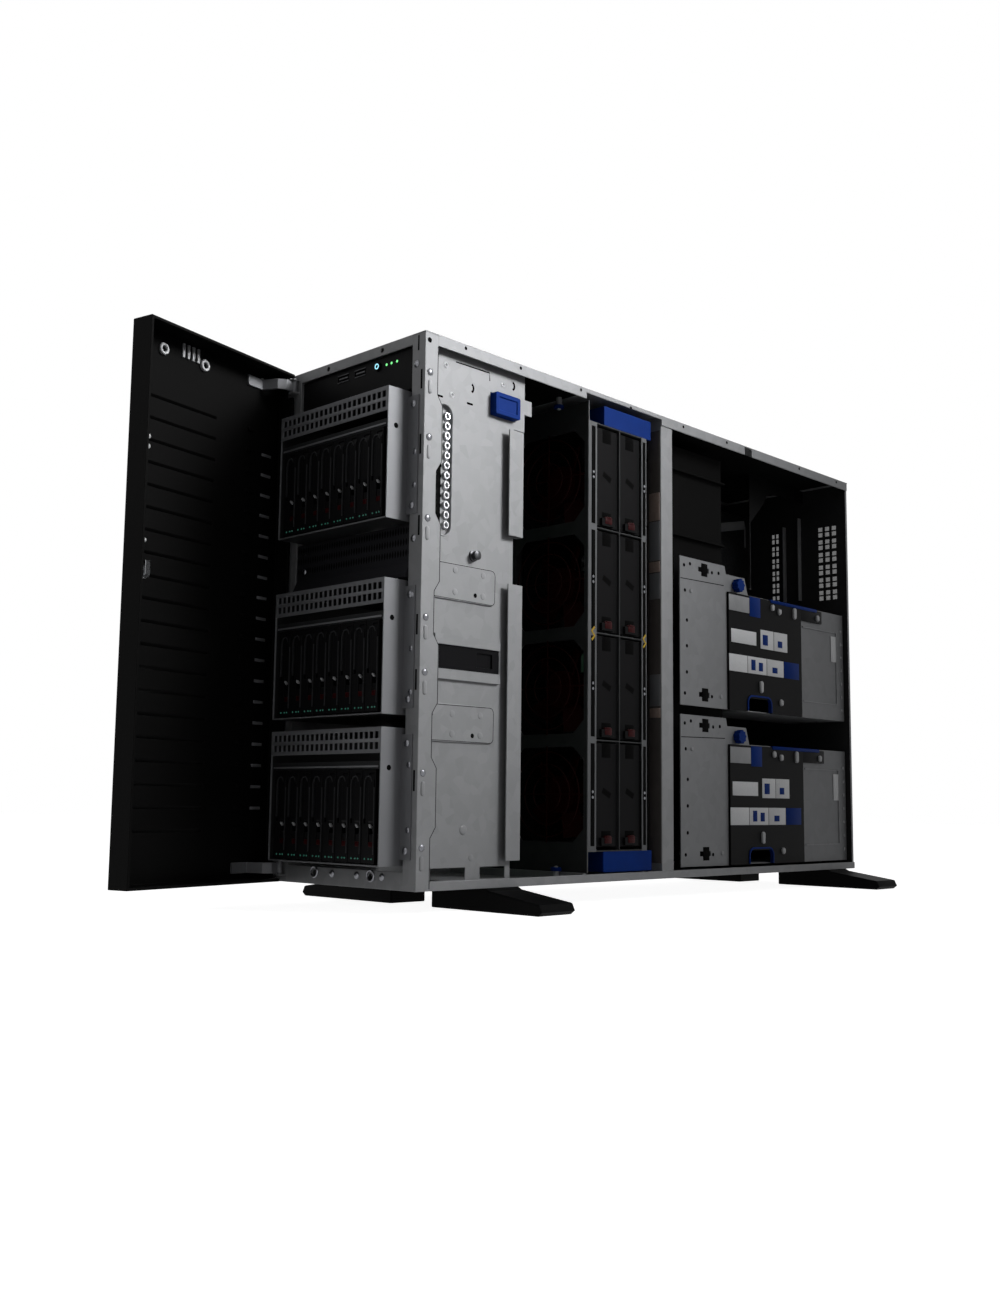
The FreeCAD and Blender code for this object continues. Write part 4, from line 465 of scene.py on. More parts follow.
teal_lamp = lamp_lens("lit_teal_light_pipe", "#063a2e", "#2c7a66", 0.25)
DRIVES = 8
DRIVE_PITCH = 15.9
BEZEL_FACE = CAGE_FRONT + 1
CATCH_SHIFTS = (0, 0.7, 1.4)
LENS = [(0.8, -0.3), (0.8, 0.2), (0.6, 0.5), (0.2, 0.6)]
LENS_OFFSETS = (-3.4, 1.2, 4.4)
LEVER_EDGE = ((-4.6, 36), (-4.6, 62), (-4.0, 65.5), (-2.2, 68), (0.4, 68.6), (2.8, 67.2), (4.2, 64.5))
for cage, low in enumerate(CAGE_LOWS, 1):
    for seat in range(1, DRIVES + 1):
        name = f"drive_{cage}_{seat}"
        middle = (seat - (DRIVES + 1) / 2) * DRIVE_PITCH
        catch = bmesh.new()
        for shift in CATCH_SHIFTS:
            bar(catch, (middle + 1.6 + shift, BEZEL_FACE - 1.3, low + 30.2 - shift),
                (middle + 2.7 + shift, BEZEL_FACE + 0.8, low + 31.8 - shift), 0.25)
        piece(f"{name}_catch", catch, grey_nylon, name)
        # The lever's bent edge and upright line carry painted highlight.
        lever = bmesh.new()
        bent = [(middle + across, BEZEL_FACE, low + level) for across, level in LEVER_EDGE]
        ribbon(lever, bent, FRONT, 0.4, -0.6, 1.0)
        bar(lever, (middle + 6.4, BEZEL_FACE - 0.9, low + 9),
            (middle + 7.0, BEZEL_FACE + 0.6, low + 60), 0.15)
        piece(f"{name}_lever_edge", lever, lever_highlight_grey, name)
        tab = bmesh.new()
        bar(tab, (middle + 0.6, BEZEL_FACE - 0.3, low + 14.5),
            (middle + 5.0, BEZEL_FACE + 0.8, low + 18.5), 0.35)
        piece(f"{name}_release", tab, maroon_acetal, name)
        lamps = bmesh.new()
        for offset in LENS_OFFSETS:
            turned(lamps, spot(middle + offset, BEZEL_FACE, low + 5.5), FRONT, LENS, sides=10)
        piece(f"{name}_lamps", lamps, teal_lamp, name)
        dress(carrier_black, name, edge=0.3)

# Drive backplanes: one glass-fibre board behind each cage, with a plug for every drive, on standoffs.
# Solder mask over glass fibre: deep green, satin, with copper tracks that show as a lighter grid.
# The grid is drawn 9 mm wide, coarser than the tracks are.
laminate, tree, where = new_finish("solder_masked_glass_fibre")
weave = add(tree, "TexBrick", {"Scale": repeats(9), "Mortar Size": 0.05, "Color1": linear("#0b2a1a"),
                               "Color2": linear("#0e3420"), "Mortar": linear("#1c4a2f")}, where)
dust = add(tree, "TexNoise", {"Scale": repeats(12), "Detail": 4}, where)
gloss = add(tree, "MapRange", {"To Min": 0.3, "To Max": 0.55}, {"Value": dust})
add(tree, "BsdfPrincipled", {"IOR": 1.55},
    {"Base Color": weave, "Roughness": gloss}, "Material")
dress(laminate, "drive_backplanes", edge=0.15)

# Front blanks: moulded covers over the unused media bay in front and over the slot in the side wall.
# Dark grey ABS with upright perforations 3.2 mm apart, drawn in relief and as near-black spots of painted
# shade, and a sparked matt skin, black on the side blank.
BLANK_LIP = front_low.z + 0.258
SIDE_BLANK = 0.0725
blank_abs, tree, where = new_finish("dark_grey_perforated_abs")
axes = add(tree, "SeparateXYZ", links=where)
front_tone = clouded(tree, where, 0.8, 3, "#232326", "#303034")[1]
across = add(tree, "Math", {"operation": "MULTIPLY", 1: 2 * math.pi * repeats(3.2)}, {0: (axes, "X")})
wave_x = add(tree, "Math", {"operation": "SINE"}, {0: across})
upward = add(tree, "Math", {"operation": "MULTIPLY", 1: 2 * math.pi * repeats(9.0)}, {0: (axes, "Z")})
wave_z = add(tree, "Math", {"operation": "SINE"}, {0: upward})
both = add(tree, "Math", {"operation": "ADD"}, {0: wave_x, 1: wave_z})
above_lip = inside(tree, where, Z=(BLANK_LIP, None))
pierced = add(tree, "MapRange", {"From Min": 0.2, "From Max": 0.7}, {"Value": both})
perforation_shade_mask = add(tree, "Math", {"operation": "MULTIPLY"}, {0: pierced, 1: above_lip})
at_side = inside(tree, where, X=(SIDE_BLANK, None))
body_tone = add(tree, "Mix", {"data_type": "RGBA", SECOND: linear("#0c0c0e")},
                {FACTOR: at_side, FIRST: front_tone})
tone = add(tree, "Mix", {"data_type": "RGBA", SECOND: linear("#030303")},
           {FACTOR: perforation_shade_mask, FIRST: body_tone})
relief = add(tree, "Bump", {"Strength": 0.4, "Distance": 0.0008, "invert": True}, {"Height": perforation_shade_mask})
add(tree, "BsdfPrincipled", {"Roughness": 0.55, "IOR": 1.54, "Specular IOR Level": 0.03},
    {"Base Color": tone, "Normal": relief}, "Material")
dress(blank_abs, "media_blanks", edge=0.4)
BLANK_FACE = 1.2
SMALL_SCREW = [(1.6, 0), (1.6, 0.5), (0.4, 0.8)]
blank_screws = bmesh.new()
turned(blank_screws, spot(-62, BLANK_FACE, 262), FRONT, RIVET_HEAD)
turned(blank_screws, spot(-62, BLANK_FACE, 277), FRONT, SMALL_SCREW)
piece("blank_screws", blank_screws, nickel_steel, "chassis")

# Control panel: a moulded strip over the top cage with ports, status lamps and a sprung power button.
# Black ABS from a spark-eroded tool: almost black, matt, with a grain of about half a millimetre.
black_abs, tree, where = new_finish("black_spark_grained_abs")
grain = add(tree, "TexNoise", {"Scale": repeats(0.6), "Detail": 3}, where)
wear, tone = clouded(tree, where, 35, 4, "#050506", "#0b0b0c")
gloss = add(tree, "MapRange", {"To Min": 0.42, "To Max": 0.6}, {"Value": wear})
relief = add(tree, "Bump", {"Strength": 0.3, "Distance": 0.00012}, {"Height": grain})
add(tree, "BsdfPrincipled", {"IOR": 1.54, "Specular IOR Level": 0.04},
    {"Base Color": tone, "Roughness": gloss, "Normal": relief}, "Material")
dress(black_abs, "control_panel", "power_button", edge=0.3)
green_lamp = lamp_lens("lit_green_light_pipe", "#128a2c", "#8dffa0", 1.6)
cyan_lamp = lamp_lens("lit_cyan_light_pipe", "#1c8fa8", "#b8f4ff", 1.6)
PANEL_FACE = 3.0
STATUS_LENS = [(1.1, -0.2), (1.1, 0.2), (0.8, 0.4), (0.3, 0.5)]
BUTTON_RING = [(1.6, 0.0), (1.6, 0.25), (2.4, 0.25), (2.4, 0.0)]
status = bmesh.new()
for side in (37.5, 43.6, 50.4):
    turned(status, spot(side, PANEL_FACE, 423.5), FRONT, STATUS_LENS)
piece("status_lamps", status, green_lamp, "chassis")
ring = bmesh.new()
turned(ring, spot(27, 1.4, 424), FRONT, BUTTON_RING, sides=24, closed=True)
piece("button_ring", ring, cyan_lamp, "power_button")
ports = bmesh.new()
for side in (4, -18):
    for low_z, high_z in ((420.7, 421.4), (426.6, 427.3)):
        bar(ports, (side - 7.2, PANEL_FACE - 0.5, low_z), (side + 7.2, PANEL_FACE + 0.3, high_z), 0.15)
    bar(ports, (side - 5.6, PANEL_FACE - 0.1, 423.4), (side + 5.6, PANEL_FACE + 1.1, 424.8), 0.2)
piece("port_shells", ports, oxide_steel, "chassis")

# Fan frame: folded sheet with four chamfered openings and shelves; blue grips pull it out to the side.
# Riveted pads hold the shelves, and grooves are rolled along both upright flanges of the open side.
# The sheet is drawn dull black-grey as painted shade of the bay; only those flanges keep grey metal.
FLANGE_SKIN = 0.0829
FRONT_FLANGE_BACK = front_low.y + 0.2172
REAR_FLANGE_FRONT = front_low.y + 0.2822
frame_mix, tree, where = new_finish("sheet_in_painted_shade_with_bare_flanges")
# Painted shade: dull black-grey on all of the frame but the upright flanges of the open side.
cloud, shade_grey = clouded(tree, where, 14, 4, "#2a2b2c", "#38393a")
at_side = inside(tree, where, X=(FLANGE_SKIN, None))
front_flange = inside(tree, where, Y=(None, FRONT_FLANGE_BACK))
rear_flange = inside(tree, where, Y=(REAR_FLANGE_FRONT, None))
at_flange = add(tree, "Math", {"operation": "MAXIMUM"}, {0: front_flange, 1: rear_flange})
bare = add(tree, "Math", {"operation": "MULTIPLY"}, {0: at_side, 1: at_flange})
rolled = add(tree, "Mix", {"data_type": "RGBA", FIRST: linear("#505153"), SECOND: linear("#5c5d5f")},
             {FACTOR: cloud})
tone = add(tree, "Mix", {"data_type": "RGBA"},
           {FACTOR: bare, FIRST: shade_grey, SECOND: rolled})
metal = add(tree, "Math", {"operation": "MULTIPLY", 1: 0.15}, {0: bare})
add(tree, "BsdfPrincipled", {"Roughness": 0.55, "Specular IOR Level": 0.08},
    {"Base Color": tone, "Metallic": metal}, "Material")
dress(frame_mix, "fan_cage")
dress(blue_abs, "fan_handles", edge=0.6)
FAN_SIDE = 84.0
FLANGE_MIDDLES = (211.9, 286.3)
GROOVES = ((209.2, 214.6), (284.2, 288.4))
ROW_LEVELS = (364.0, 268.0, 172.0, 76.0)
PAD_RIVET = [(1.3, 0), (1.3, 0.3), (0.9, 0.7), (0.3, 0.8)]
frame_rivets = bmesh.new()
grooves = bmesh.new()
for level in ROW_LEVELS:
    pads = [(place_y, shift) for place_y in FLANGE_MIDDLES for shift in (-2.4, 2.4)]
    on_side(frame_rivets, FAN_SIDE, pads, PAD_RIVET, level)
    # The grooves are flat strips in painted shade.
    for low_y, high_y in GROOVES:
        bar(grooves, (FAN_SIDE - 0.3, low_y, level - 45), (FAN_SIDE + 0.12, high_y, level + 45), 0.05)
piece("fan_frame_rivets", frame_rivets, nickel_steel, "fan_cage")
piece("fan_frame_grooves", grooves, unlit_hole, "fan_cage")

# Fan guards: three rings and a cross of drawn steel wire before each opening, welded and hung in the frame.
# They keep cables out of the blades. A brown-red dipped coat makes the wire dark, smooth and slightly glossy.
dipped_wire = mottled_finish("brown_red_dipped_wire", 6, 3, "#120303", "#260706",
                             {"Roughness": 0.5, "IOR": 1.5, "Specular IOR Level": 0.05})
FAN_AXIS = 37.0
GUARD_FACE = 204
GUARD_RADII = (16, 27, 38)
GUARD_REACH = 43
WIRE_RADIUS = 0.55
WIRE_TURNS = [step * math.pi / 3 for step in range(6)]
guards = bmesh.new()
for level in ROW_LEVELS:
    for radius in GUARD_RADII:
        wire = [(radius + WIRE_RADIUS * math.cos(turn), WIRE_RADIUS * math.sin(turn)) for turn in WIRE_TURNS]
        turned(guards, spot(FAN_AXIS, GUARD_FACE, level), FRONT, wire, sides=48, closed=True)
    for reach_x, reach_z in ((GUARD_REACH, 0.6), (0.6, GUARD_REACH)):
        bar(guards, (FAN_AXIS - reach_x, GUARD_FACE - 0.7, level - reach_z),
            (FAN_AXIS + reach_x, GUARD_FACE + 0.5, level + reach_z), 0.4)
piece("fan_guards", guards, dipped_wire, "fan_cage")

# Earth springs of the fan frame: bent strips of spring bronze in the middle of both flanges.
# A thin gold flash keeps them bright: a warm metal, slightly worn along the bends.
gold_bronze = mottled_finish("gold_flashed_spring_bronze", 1.5, 2, "#6f5a18", "#a58a2c",
                             {"Metallic": 1.0, "Roughness": 0.35})
ZIGZAG = ((-2, 213), (2, 217), (-2, 221), (2, 225))
springs = bmesh.new()
for place_y in FLANGE_MIDDLES:
    strip = [(FAN_SIDE, place_y + shift, level) for shift, level in ZIGZAG]
    ribbon(springs, strip, RIGHT, 1.0, -0.2, 0.35)
piece("fan_frame_springs", springs, gold_bronze, "fan_cage")

# Bay catches: a split nylon post with a blue collar hangs from the top and another stands on the floor.
# They are pressed into the sheet before the fan frame and hold looms that run past it.
UP = Vector((0, 0, 1))
CATCH_POST = [(2.6, 0), (2.6, 9), (1.8, 11.5), (0.4, 12)]
COLLAR = [(2.8, 0), (2.8, 3.4), (4.6, 3.0), (4.9, 1.6), (4.6, 0)]
COLLAR_RISE = 7.5
posts = bmesh.new()
collars = bmesh.new()
for base_z, sign in ((438.4, -1), (1.3, 1)):
    turned(posts, spot(54, 198, base_z), UP * sign, CATCH_POST)
    turned(collars, spot(54, 198, base_z + sign * COLLAR_RISE), UP * sign, COLLAR, sides=24, closed=True)
piece("bay_catch_posts", posts, grey_nylon, "chassis")
piece("bay_catch_collars", collars, blue_abs, "chassis")

# Fan modules: two housings in line per row, moulded in filled polyester, each with a red pull latch.
# The rotors turn on pins in them and are moulded in a red-brown polyester.
# Filled polyester has a slightly cloudy dark skin with flow marks across some 20 mm.
fan_grey, tree, where = new_finish("dark_grey_filled_polyester")
tone = clouded(tree, where, 20, 4, "#040405", "#09090a")[1]
grain = add(tree, "TexNoise", {"Scale": repeats(0.7), "Detail": 2}, where)
relief = add(tree, "Bump", {"Strength": 0.25, "Distance": 0.0001}, {"Height": grain})
add(tree, "BsdfPrincipled", {"Roughness": 0.55, "IOR": 1.57, "Specular IOR Level": 0.03},
    {"Base Color": tone, "Normal": relief}, "Material")
# Red-brown polyester of the rotors: nearly black in the shade of the frame, matt, with flow marks.
rotor_brown = mottled_finish("red_brown_moulded_polyester", 8, 3, "#140202", "#2c0504",
                             {"Roughness": 0.6, "IOR": 1.57, "Specular IOR Level": 0.03})
MODULE_FACE = 82.0
MODULE_MIDDLES = (233, 266.5)
for row, level in enumerate(ROW_LEVELS, 1):
    dress(fan_grey, f"fan_row_{row}", edge=0.5)
    dress(rotor_brown, f"fan_rotor_{row}", edge=0.2)
    latch = bmesh.new()
    pocket = bmesh.new()
    for place_y in MODULE_MIDDLES:
        for half, low_z, high_z, proud, edge in ((5, -43, -36.5, 2.9, 0.8), (3.4, -38, -36, 3.4, 0.6)):
            bar(latch, (MODULE_FACE, place_y - half, level + low_z),
                (MODULE_FACE + proud, place_y + half, level + high_z), edge)
        for half, low_z, high_z in ((6.5, -45.5, -32), (6, 33, 45.5)):
            bar(pocket, (MODULE_FACE - 0.3, place_y - half, level + low_z),
                (MODULE_FACE + 0.15, place_y + half, level + high_z), 0.1)
        mark = ((MODULE_FACE, place_y - 5, level + 4), (MODULE_FACE, place_y + 6, level - 1))
        ribbon(pocket, mark, RIGHT, 2.6, -0.3, 0.1)
    piece(f"fan_latch_{row}", latch, maroon_acetal, f"fan_row_{row}")
    piece(f"fan_pocket_{row}", pocket, unlit_hole, f"fan_row_{row}")

# System board: glass-fibre laminate on the closed side, with finned aluminium coolers and memory modules.
# One finish by place: green mask on the board itself, extruded aluminium on what stands on it.
BOARD_SKIN = -0.0833
board_mix, tree, where = new_finish("green_laminate_and_extruded_aluminium")
is_part = inside(tree, where, X=(BOARD_SKIN, None))
tracks = add(tree, "TexBrick", {"Scale": repeats(14), "Mortar Size": 0.04, "Color1": linear("#0b2a1a"),
                                "Color2": linear("#0f3822"), "Mortar": linear("#1d5033")}, where)
metal = clouded(tree, where, 3, 3, "#8e9093", "#a9abae")[1]
tone = add(tree, "Mix", {"data_type": "RGBA"},
           {FACTOR: is_part, FIRST: tracks, SECOND: metal})
add(tree, "BsdfPrincipled", {"Roughness": 0.42},
    {"Base Color": tone, "Metallic": is_part}, "Material")
dress(board_mix, "system_board", edge=0.15)

# Air baffle: a black duct over the coolers, thermoformed from one sheet, clipped to the board.
# The trim on the post before it is a vinyl strip with glued patches, plain pink and plain metal by turns.
dress(black_film_and_shade, "air_baffle", edge=0.4)
# Printed polyester label: pale, flat, with a slight ink mottle.
label_pink = mottled_finish("pale_pink_polyester_label", 3, 3, "#857068", "#a09088",
                            {"Roughness": 0.5, "IOR": 1.57})
# Warm grey vinyl under the labels, calendered matt, with a faint cloud.
trim_vinyl = mottled_finish("warm_grey_calendered_vinyl", 15, 3, "#4a4644", "#5c5755",
                            {"Roughness": 0.6, "IOR": 1.53, "Specular IOR Level": 0.1})
POST_FRONT = 310.0
PINK_PATCHES = ((338, 365), (288, 298), (149, 158))
GREY_PATCHES = ((299, 337), (262, 287), (160, 190))
trim = bmesh.new()
bar(trim, (70.6, POST_FRONT - 0.5, 14), (85.4, POST_FRONT + 0.1, 426), 0.15)
piece("post_trim", trim, trim_vinyl, "chassis")
for name, spans, proud, finish in (("post_patches", PINK_PATCHES, 0.9, label_pink),
                                   ("post_grey_patches", GREY_PATCHES, 0.8, cage_steel)):
    patches = bmesh.new()
    for low_z, high_z in spans:
        bar(patches, (72.5, POST_FRONT - proud, low_z), (85, POST_FRONT - 0.4, high_z), 0.1)
    piece(name, patches, finish, "chassis")

# Riser cages: lift-out steel carriers for expansion cards, with a moulded panel riveted to the outer plate.
# One finish by place: zinc-coated plate, black panel proud of it and the green riser board inside.
PLATE_SKIN = WALL_SIDE / 1000 + 0.0001
PLATE_BACK = 0.0745
BOARD_FRONT = front_low.y + 0.4515
BOARD_BACK = front_low.y + 0.4541
riser_mix, tree, where = new_finish("zinc_plate_black_panel_green_board")
is_panel = inside(tree, where, X=(PLATE_SKIN, None))
is_board = inside(tree, where, Y=(BOARD_FRONT, BOARD_BACK), X=(None, PLATE_BACK))
crystals = add(tree, "TexVoronoi", {"Scale": repeats(9)}, where)
handling, panel_tone = clouded(tree, where, 70, 5, "#060607", "#0d0d0e")
# The plate is drawn a little darker than the chassis zinc: painted shade for the dimmer light towards the
# rear.
patch = add(tree, "Mix", {"data_type": "RGBA", FIRST: linear("#7c7d7f"), SECOND: linear("#828385")},
            {FACTOR: (crystals, "Color")})
with_panel = add(tree, "Mix", {"data_type": "RGBA"},
                 {FACTOR: is_panel, FIRST: patch, SECOND: panel_tone})
tone = add(tree, "Mix", {"data_type": "RGBA", SECOND: linear("#0e3420")},
           {FACTOR: is_board, FIRST: with_panel})
dull = add(tree, "Math", {"operation": "ADD"}, {0: is_panel, 1: is_board})
bare = add(tree, "Math", {"operation": "SUBTRACT", 0: 1.0, "use_clamp": True}, {1: dull})
metal = add(tree, "Math", {"operation": "MULTIPLY", 1: 0.15}, {0: bare})
gloss = add(tree, "MapRange", {"To Min": 0.38, "To Max": 0.55}, {"Value": handling})
add(tree, "BsdfPrincipled", {"Specular IOR Level": 0.03},
    {"Base Color": tone, "Metallic": metal, "Roughness": gloss}, "Material")
dress(riser_mix, "riser_cage_1", "riser_cage_2")
dress(blue_abs, "riser_knob_1", "riser_knob_2", edge=0.4)
# Label stock: white coated paper, slightly cool and smooth, with a faint fibre mottle.
white_label = mottled_finish("white_coated_label_paper", 1.6, 3, "#c0c1c3", "#d2d3d5",
                             {"Roughness": 0.45, "IOR": 1.5})
PANEL_SIDE = 82.5
RISER_LOWS = (164.0, 9.0)
WHITE_PATCHES = ((432, 478, 69, 83), (486, 511, 67, 87), (512, 538, 67, 87),
                 (428, 461, 39.5, 57), (462, 497, 39.5, 57), (498, 530, 39.5, 57))
BLUE_MARKS = ((490, 500, 71, 82), (519, 528, 71, 78),
              (468, 476, 43, 54), (482, 490, 43, 52), (508, 518, 43, 49))
NOTCH_ARCH = ((461, 0.6), (461, 10.5), (463.5, 14.5), (467.5, 16.2),
              (498.5, 16.2), (502.5, 14.5), (505, 10.5), (505, 0.6))
ROUND_CLIPS = ((508.8, 112.5), (522.4, 109.5), (523.9, 12.5), (600.6, 111))
LONG_CLIPS = ((552.6, 111), (485.7, 26.5))
CLIP = [(2.6, 0), (2.6, 1.4), (2.0, 2.2), (0.5, 2.5)]
PLATE_BORDER = ((574, 99.4), (645.4, 99.4), (645.4, 18), (574, 18))
PLATE_RIVET = [(2.2, 0), (2.2, 0.6), (1.5, 1.2), (0.3, 1.3)]
EDGE_STUD = [(2.0, 0), (2.0, 0.5), (0.5, 1.2)]
EDGE_STUDS = [(655.5, 12 + step * 15) for step in range(7)]
PLATE_HOLE = [(1.8, 0.02), (1.8, 0.12)]
PLATE_HOLES = ((359.4, 83.4), (359.2, 58), (358.9, 32.4), (356.3, 112.7), (355.5, 11.6), (355, 137.5),
               (365, 140), (402.4, 136), (414, 137), (400.8, 11))
for number, low in enumerate(RISER_LOWS, 1):
    body = f"riser_{number}"
    labels = bmesh.new()
    for low_y, high_y, low_z, high_z in WHITE_PATCHES:
        bar(labels, (PANEL_SIDE - 0.1, low_y, low + low_z), (PANEL_SIDE + 0.15, high_y, low + high_z), 0.06)
    bar(labels, (WALL_SIDE - 0.2, 634, low + 66), (WALL_SIDE + 0.2, 645, low + 95), 0.06)
    piece(f"riser_labels_{number}", labels, white_label, body)
    blue = bmesh.new()
    bar(blue, (PANEL_SIDE - 0.1, 466, low + 99), (PANEL_SIDE + 0.2, 486, low + 119.5), 0.08)
    bar(blue, (PANEL_SIDE - 0.1, 531, low + 39.5), (PANEL_SIDE + 0.15, 561, low + 57), 0.06)
    bar(blue, (WALL_SIDE - 0.4, 506, low + 117.5), (PANEL_SIDE + 0.8, 600, low + 121), 0.8)
    for low_y, high_y, low_z, high_z in BLUE_MARKS:
        bar(blue, (PANEL_SIDE + 0.1, low_y, low + low_z), (PANEL_SIDE + 0.2, high_y, low + high_z), 0.04)
    arch = [(PANEL_SIDE, place_y, low + level) for place_y, level in NOTCH_ARCH]
    ribbon(blue, arch, RIGHT, 0.8, -3, 1.0)
    piece(f"riser_touch_{number}", blue, blue_abs, body)
    clips = bmesh.new()
    on_side(clips, PANEL_SIDE, ROUND_CLIPS, CLIP, low, stretch=(0, 0, 0.8))
    on_side(clips, PANEL_SIDE, LONG_CLIPS, CLIP, low, stretch=(0, 0, 3.6))
    piece(f"riser_clips_{number}", clips, grey_nylon, body)
    wing = bmesh.new()
    bar(wing, (WALL_SIDE - 0.2, 566.6, low + 106), (PANEL_SIDE - 0.1, 611, low + 119.6), 0.3)
    piece(f"riser_wing_{number}", wing, black_abs, body)
    folds = bmesh.new()
    bar(folds, (PANEL_SIDE - 0.2, 428.2, low + 101.5), (PANEL_SIDE + 0.5, 465, low + 117.8), 0.3)
    border = [(WALL_SIDE, place_y, low + level) for place_y, level in PLATE_BORDER]
    ribbon(folds, border, RIGHT, 0.7, -0.4, 0.5)
    piece(f"riser_folds_{number}", folds, zinc_steel, body)
    studs = bmesh.new()
    on_side(studs, WALL_SIDE, ((366.3, 113), (416.4, 12)), PLATE_RIVET, low)
    on_side(studs, WALL_SIDE, EDGE_STUDS, EDGE_STUD, low, sides=12)
    piece(f"riser_studs_{number}", studs, zinc_steel, body)
    holes = bmesh.new()
    on_side(holes, WALL_SIDE, PLATE_HOLES, PLATE_HOLE, low, sides=14)
    for level in (12, 136.8):
        bar(holes, (WALL_SIDE - 0.2, 384, low + level - 6.5),
            (WALL_SIDE + 0.08, 394.5, low + level + 6.5), 0.05)
    ribbon(holes, ((WALL_SIDE, 349, low + 124), (WALL_SIDE, 423, low + 125.6)), RIGHT, 0.4, -0.1, 0.06)
    piece(f"riser_holes_{number}", holes, unlit_hole, body)

# Power supply: a hot-plug unit in a folded case that slides in at the rear, with a bent wire handle.
# Black oxide over sheet steel, rubbed to bare metal along the edges.
# A zinc-coated spring is riveted to its side.
dress(oxide_steel, "power_supply", edge=0.4)
SUPPLY_SIDE = -44.2
SPRING_LEAF = ((SUPPLY_SIDE, 596, 395), (SUPPLY_SIDE, 652, 407))
SPRING_HOOK = ((SUPPLY_SIDE, 652.3, 405), (SUPPLY_SIDE, 652.3, 379))
spring = bmesh.new()
ribbon(spring, SPRING_LEAF, RIGHT, 5.2, -0.2, 0.2)
ribbon(spring, SPRING_HOOK, RIGHT, 1.2, -0.2, 0.2)
piece("supply_spring", spring, zinc_steel, "power_supply")

# Rear wall: the sheet that closes the back, with card slots, two vent fields and the bay of the supply.
# It is galvannealed outside and drawn near black inside as painted shade; thin bars split the vents and ribs
# stiffen the sheet.
REAR_SKIN = front_low.y + 0.6644
FLANGE_INSIDE = 0.0860
rear_mix, tree, where = new_finish("galvannealed_sheet_painted_shade_inside")
cloud, dark = clouded(tree, where, 12, 4, "#1a1a1b", "#272728")
# Painted shade on the inside face of the wall.
inside_shade = inside(tree, where, Y=(None, REAR_SKIN), X=(None, FLANGE_INSIDE))
zinc = add(tree, "Mix", ZINC_TONES, {FACTOR: cloud})
tone = add(tree, "Mix", {"data_type": "RGBA"},
           {FACTOR: inside_shade, FIRST: zinc, SECOND: dark})
metal = add(tree, "MapRange", {"To Min": 0.15, "To Max": 0.0}, {"Value": inside_shade})
add(tree, "BsdfPrincipled", {"Roughness": 0.5, "Specular IOR Level": 0.15},
    {"Base Color": tone, "Metallic": metal}, "Material")
dress(rear_mix, "rear_wall", edge=0.3)
REAR_INSIDE = 663.9
VENT_LOW = 306.0
VENT_PITCH = 14.967
VENT_ROWS = 6
grille_bars = bmesh.new()
for row in range(VENT_ROWS):
    level = VENT_LOW + row * VENT_PITCH + 5
    for low_x, high_x in ((48.5, 73), (-14, -4)):
        bar(grille_bars, (low_x, REAR_INSIDE, level), (high_x, REAR_INSIDE + 1, level + 1.6), 0.1)
piece("rear_grille_bars", grille_bars, rear_mix, "chassis")
ribs = bmesh.new()
for side, top in ((5.3, 398.6), (25.6, 406.6)):
    bar(ribs, (side - 0.8, 658, 308), (side + 0.8, REAR_INSIDE, top), 0.3)
piece("rear_ribs", ribs, zinc_steel, "chassis")

# Rear stay: a sheet with an arched lower edge, cut from black plastic 1.2 mm thick.
# It hangs from the top and is screwed to the rear wall.
STAY_SIDES = (29.6, 28.4)
STAY_EDGE = ((550, 438.7), (549, 381), (579.6, 410), (584.4, 418.7), (594, 422.8),
             (605.6, 424), (646.6, 423.4), (REAR_INSIDE, 424.5), (REAR_INSIDE, 438.7))
stay = bmesh.new()
outer, inner = [[stay.verts.new(spot(side, place_y, level)) for place_y, level in STAY_EDGE]
                for side in STAY_SIDES]
stay.faces.new(outer)
stay.faces.new(list(reversed(inner)))
for index, corner in enumerate(outer):
    following = (index + 1) % len(outer)
    stay.faces.new((corner, inner[index], inner[following], outer[following]))
piece("rear_stay", stay, black_abs, "chassis")

# Wire cloth of the rear vents: woven from steel wires 0.25 mm thick, spot welded inside the openings.
# The weave is too fine to show and is drawn as an even veil: a grey haze that lets a third of the light by.
wire_cloth, tree, where = new_finish("woven_steel_cloth")
weave = add(tree, "TexNoise", {"Scale": repeats(2), "Detail": 2}, where)
cover = add(tree, "MapRange", {"To Min": 0.55, "To Max": 0.7}, {"Value": weave})
wires = add(tree, "BsdfPrincipled", {"Metallic": 1.0, "Roughness": 0.5, "Base Color": linear("#4a4b4d")})
gaps = add(tree, "BsdfTransparent")
add(tree, "MixShader", links={0: cover, 1: gaps, 2: wires}, output="Material")
CLOTH_LOW = VENT_LOW - 1
CLOTH_HIGH = VENT_LOW + VENT_ROWS * VENT_PITCH - 2.6
cloth = bmesh.new()
for low_x, high_x in ((48, 73.4), (-14.6, -3.2)):
    bar(cloth, (low_x, REAR_INSIDE + 0.4, CLOTH_LOW), (high_x, REAR_INSIDE + 0.6, CLOTH_HIGH), 0.04)
piece("rear_wire_cloth", cloth, wire_cloth, "chassis")

# Feet: four moulded outriggers screwed under the floor, dark plastic with a matt, slightly scuffed skin.
# Filled polypropylene gives a greyish black without sharp highlights.
foot_black, tree, where = new_finish("dark_moulded_polypropylene")
scuff, tone = clouded(tree, where, 6, 5, "#030303", "#080809")
relief = add(tree, "Bump", {"Strength": 0.3, "Distance": 0.0002}, {"Height": scuff})
add(tree, "BsdfPrincipled", {"Roughness": 0.6, "IOR": 1.49, "Specular IOR Level": 0.03},
    {"Base Color": tone, "Normal": relief}, "Material")
dress(foot_black, "feet", edge=1.2)

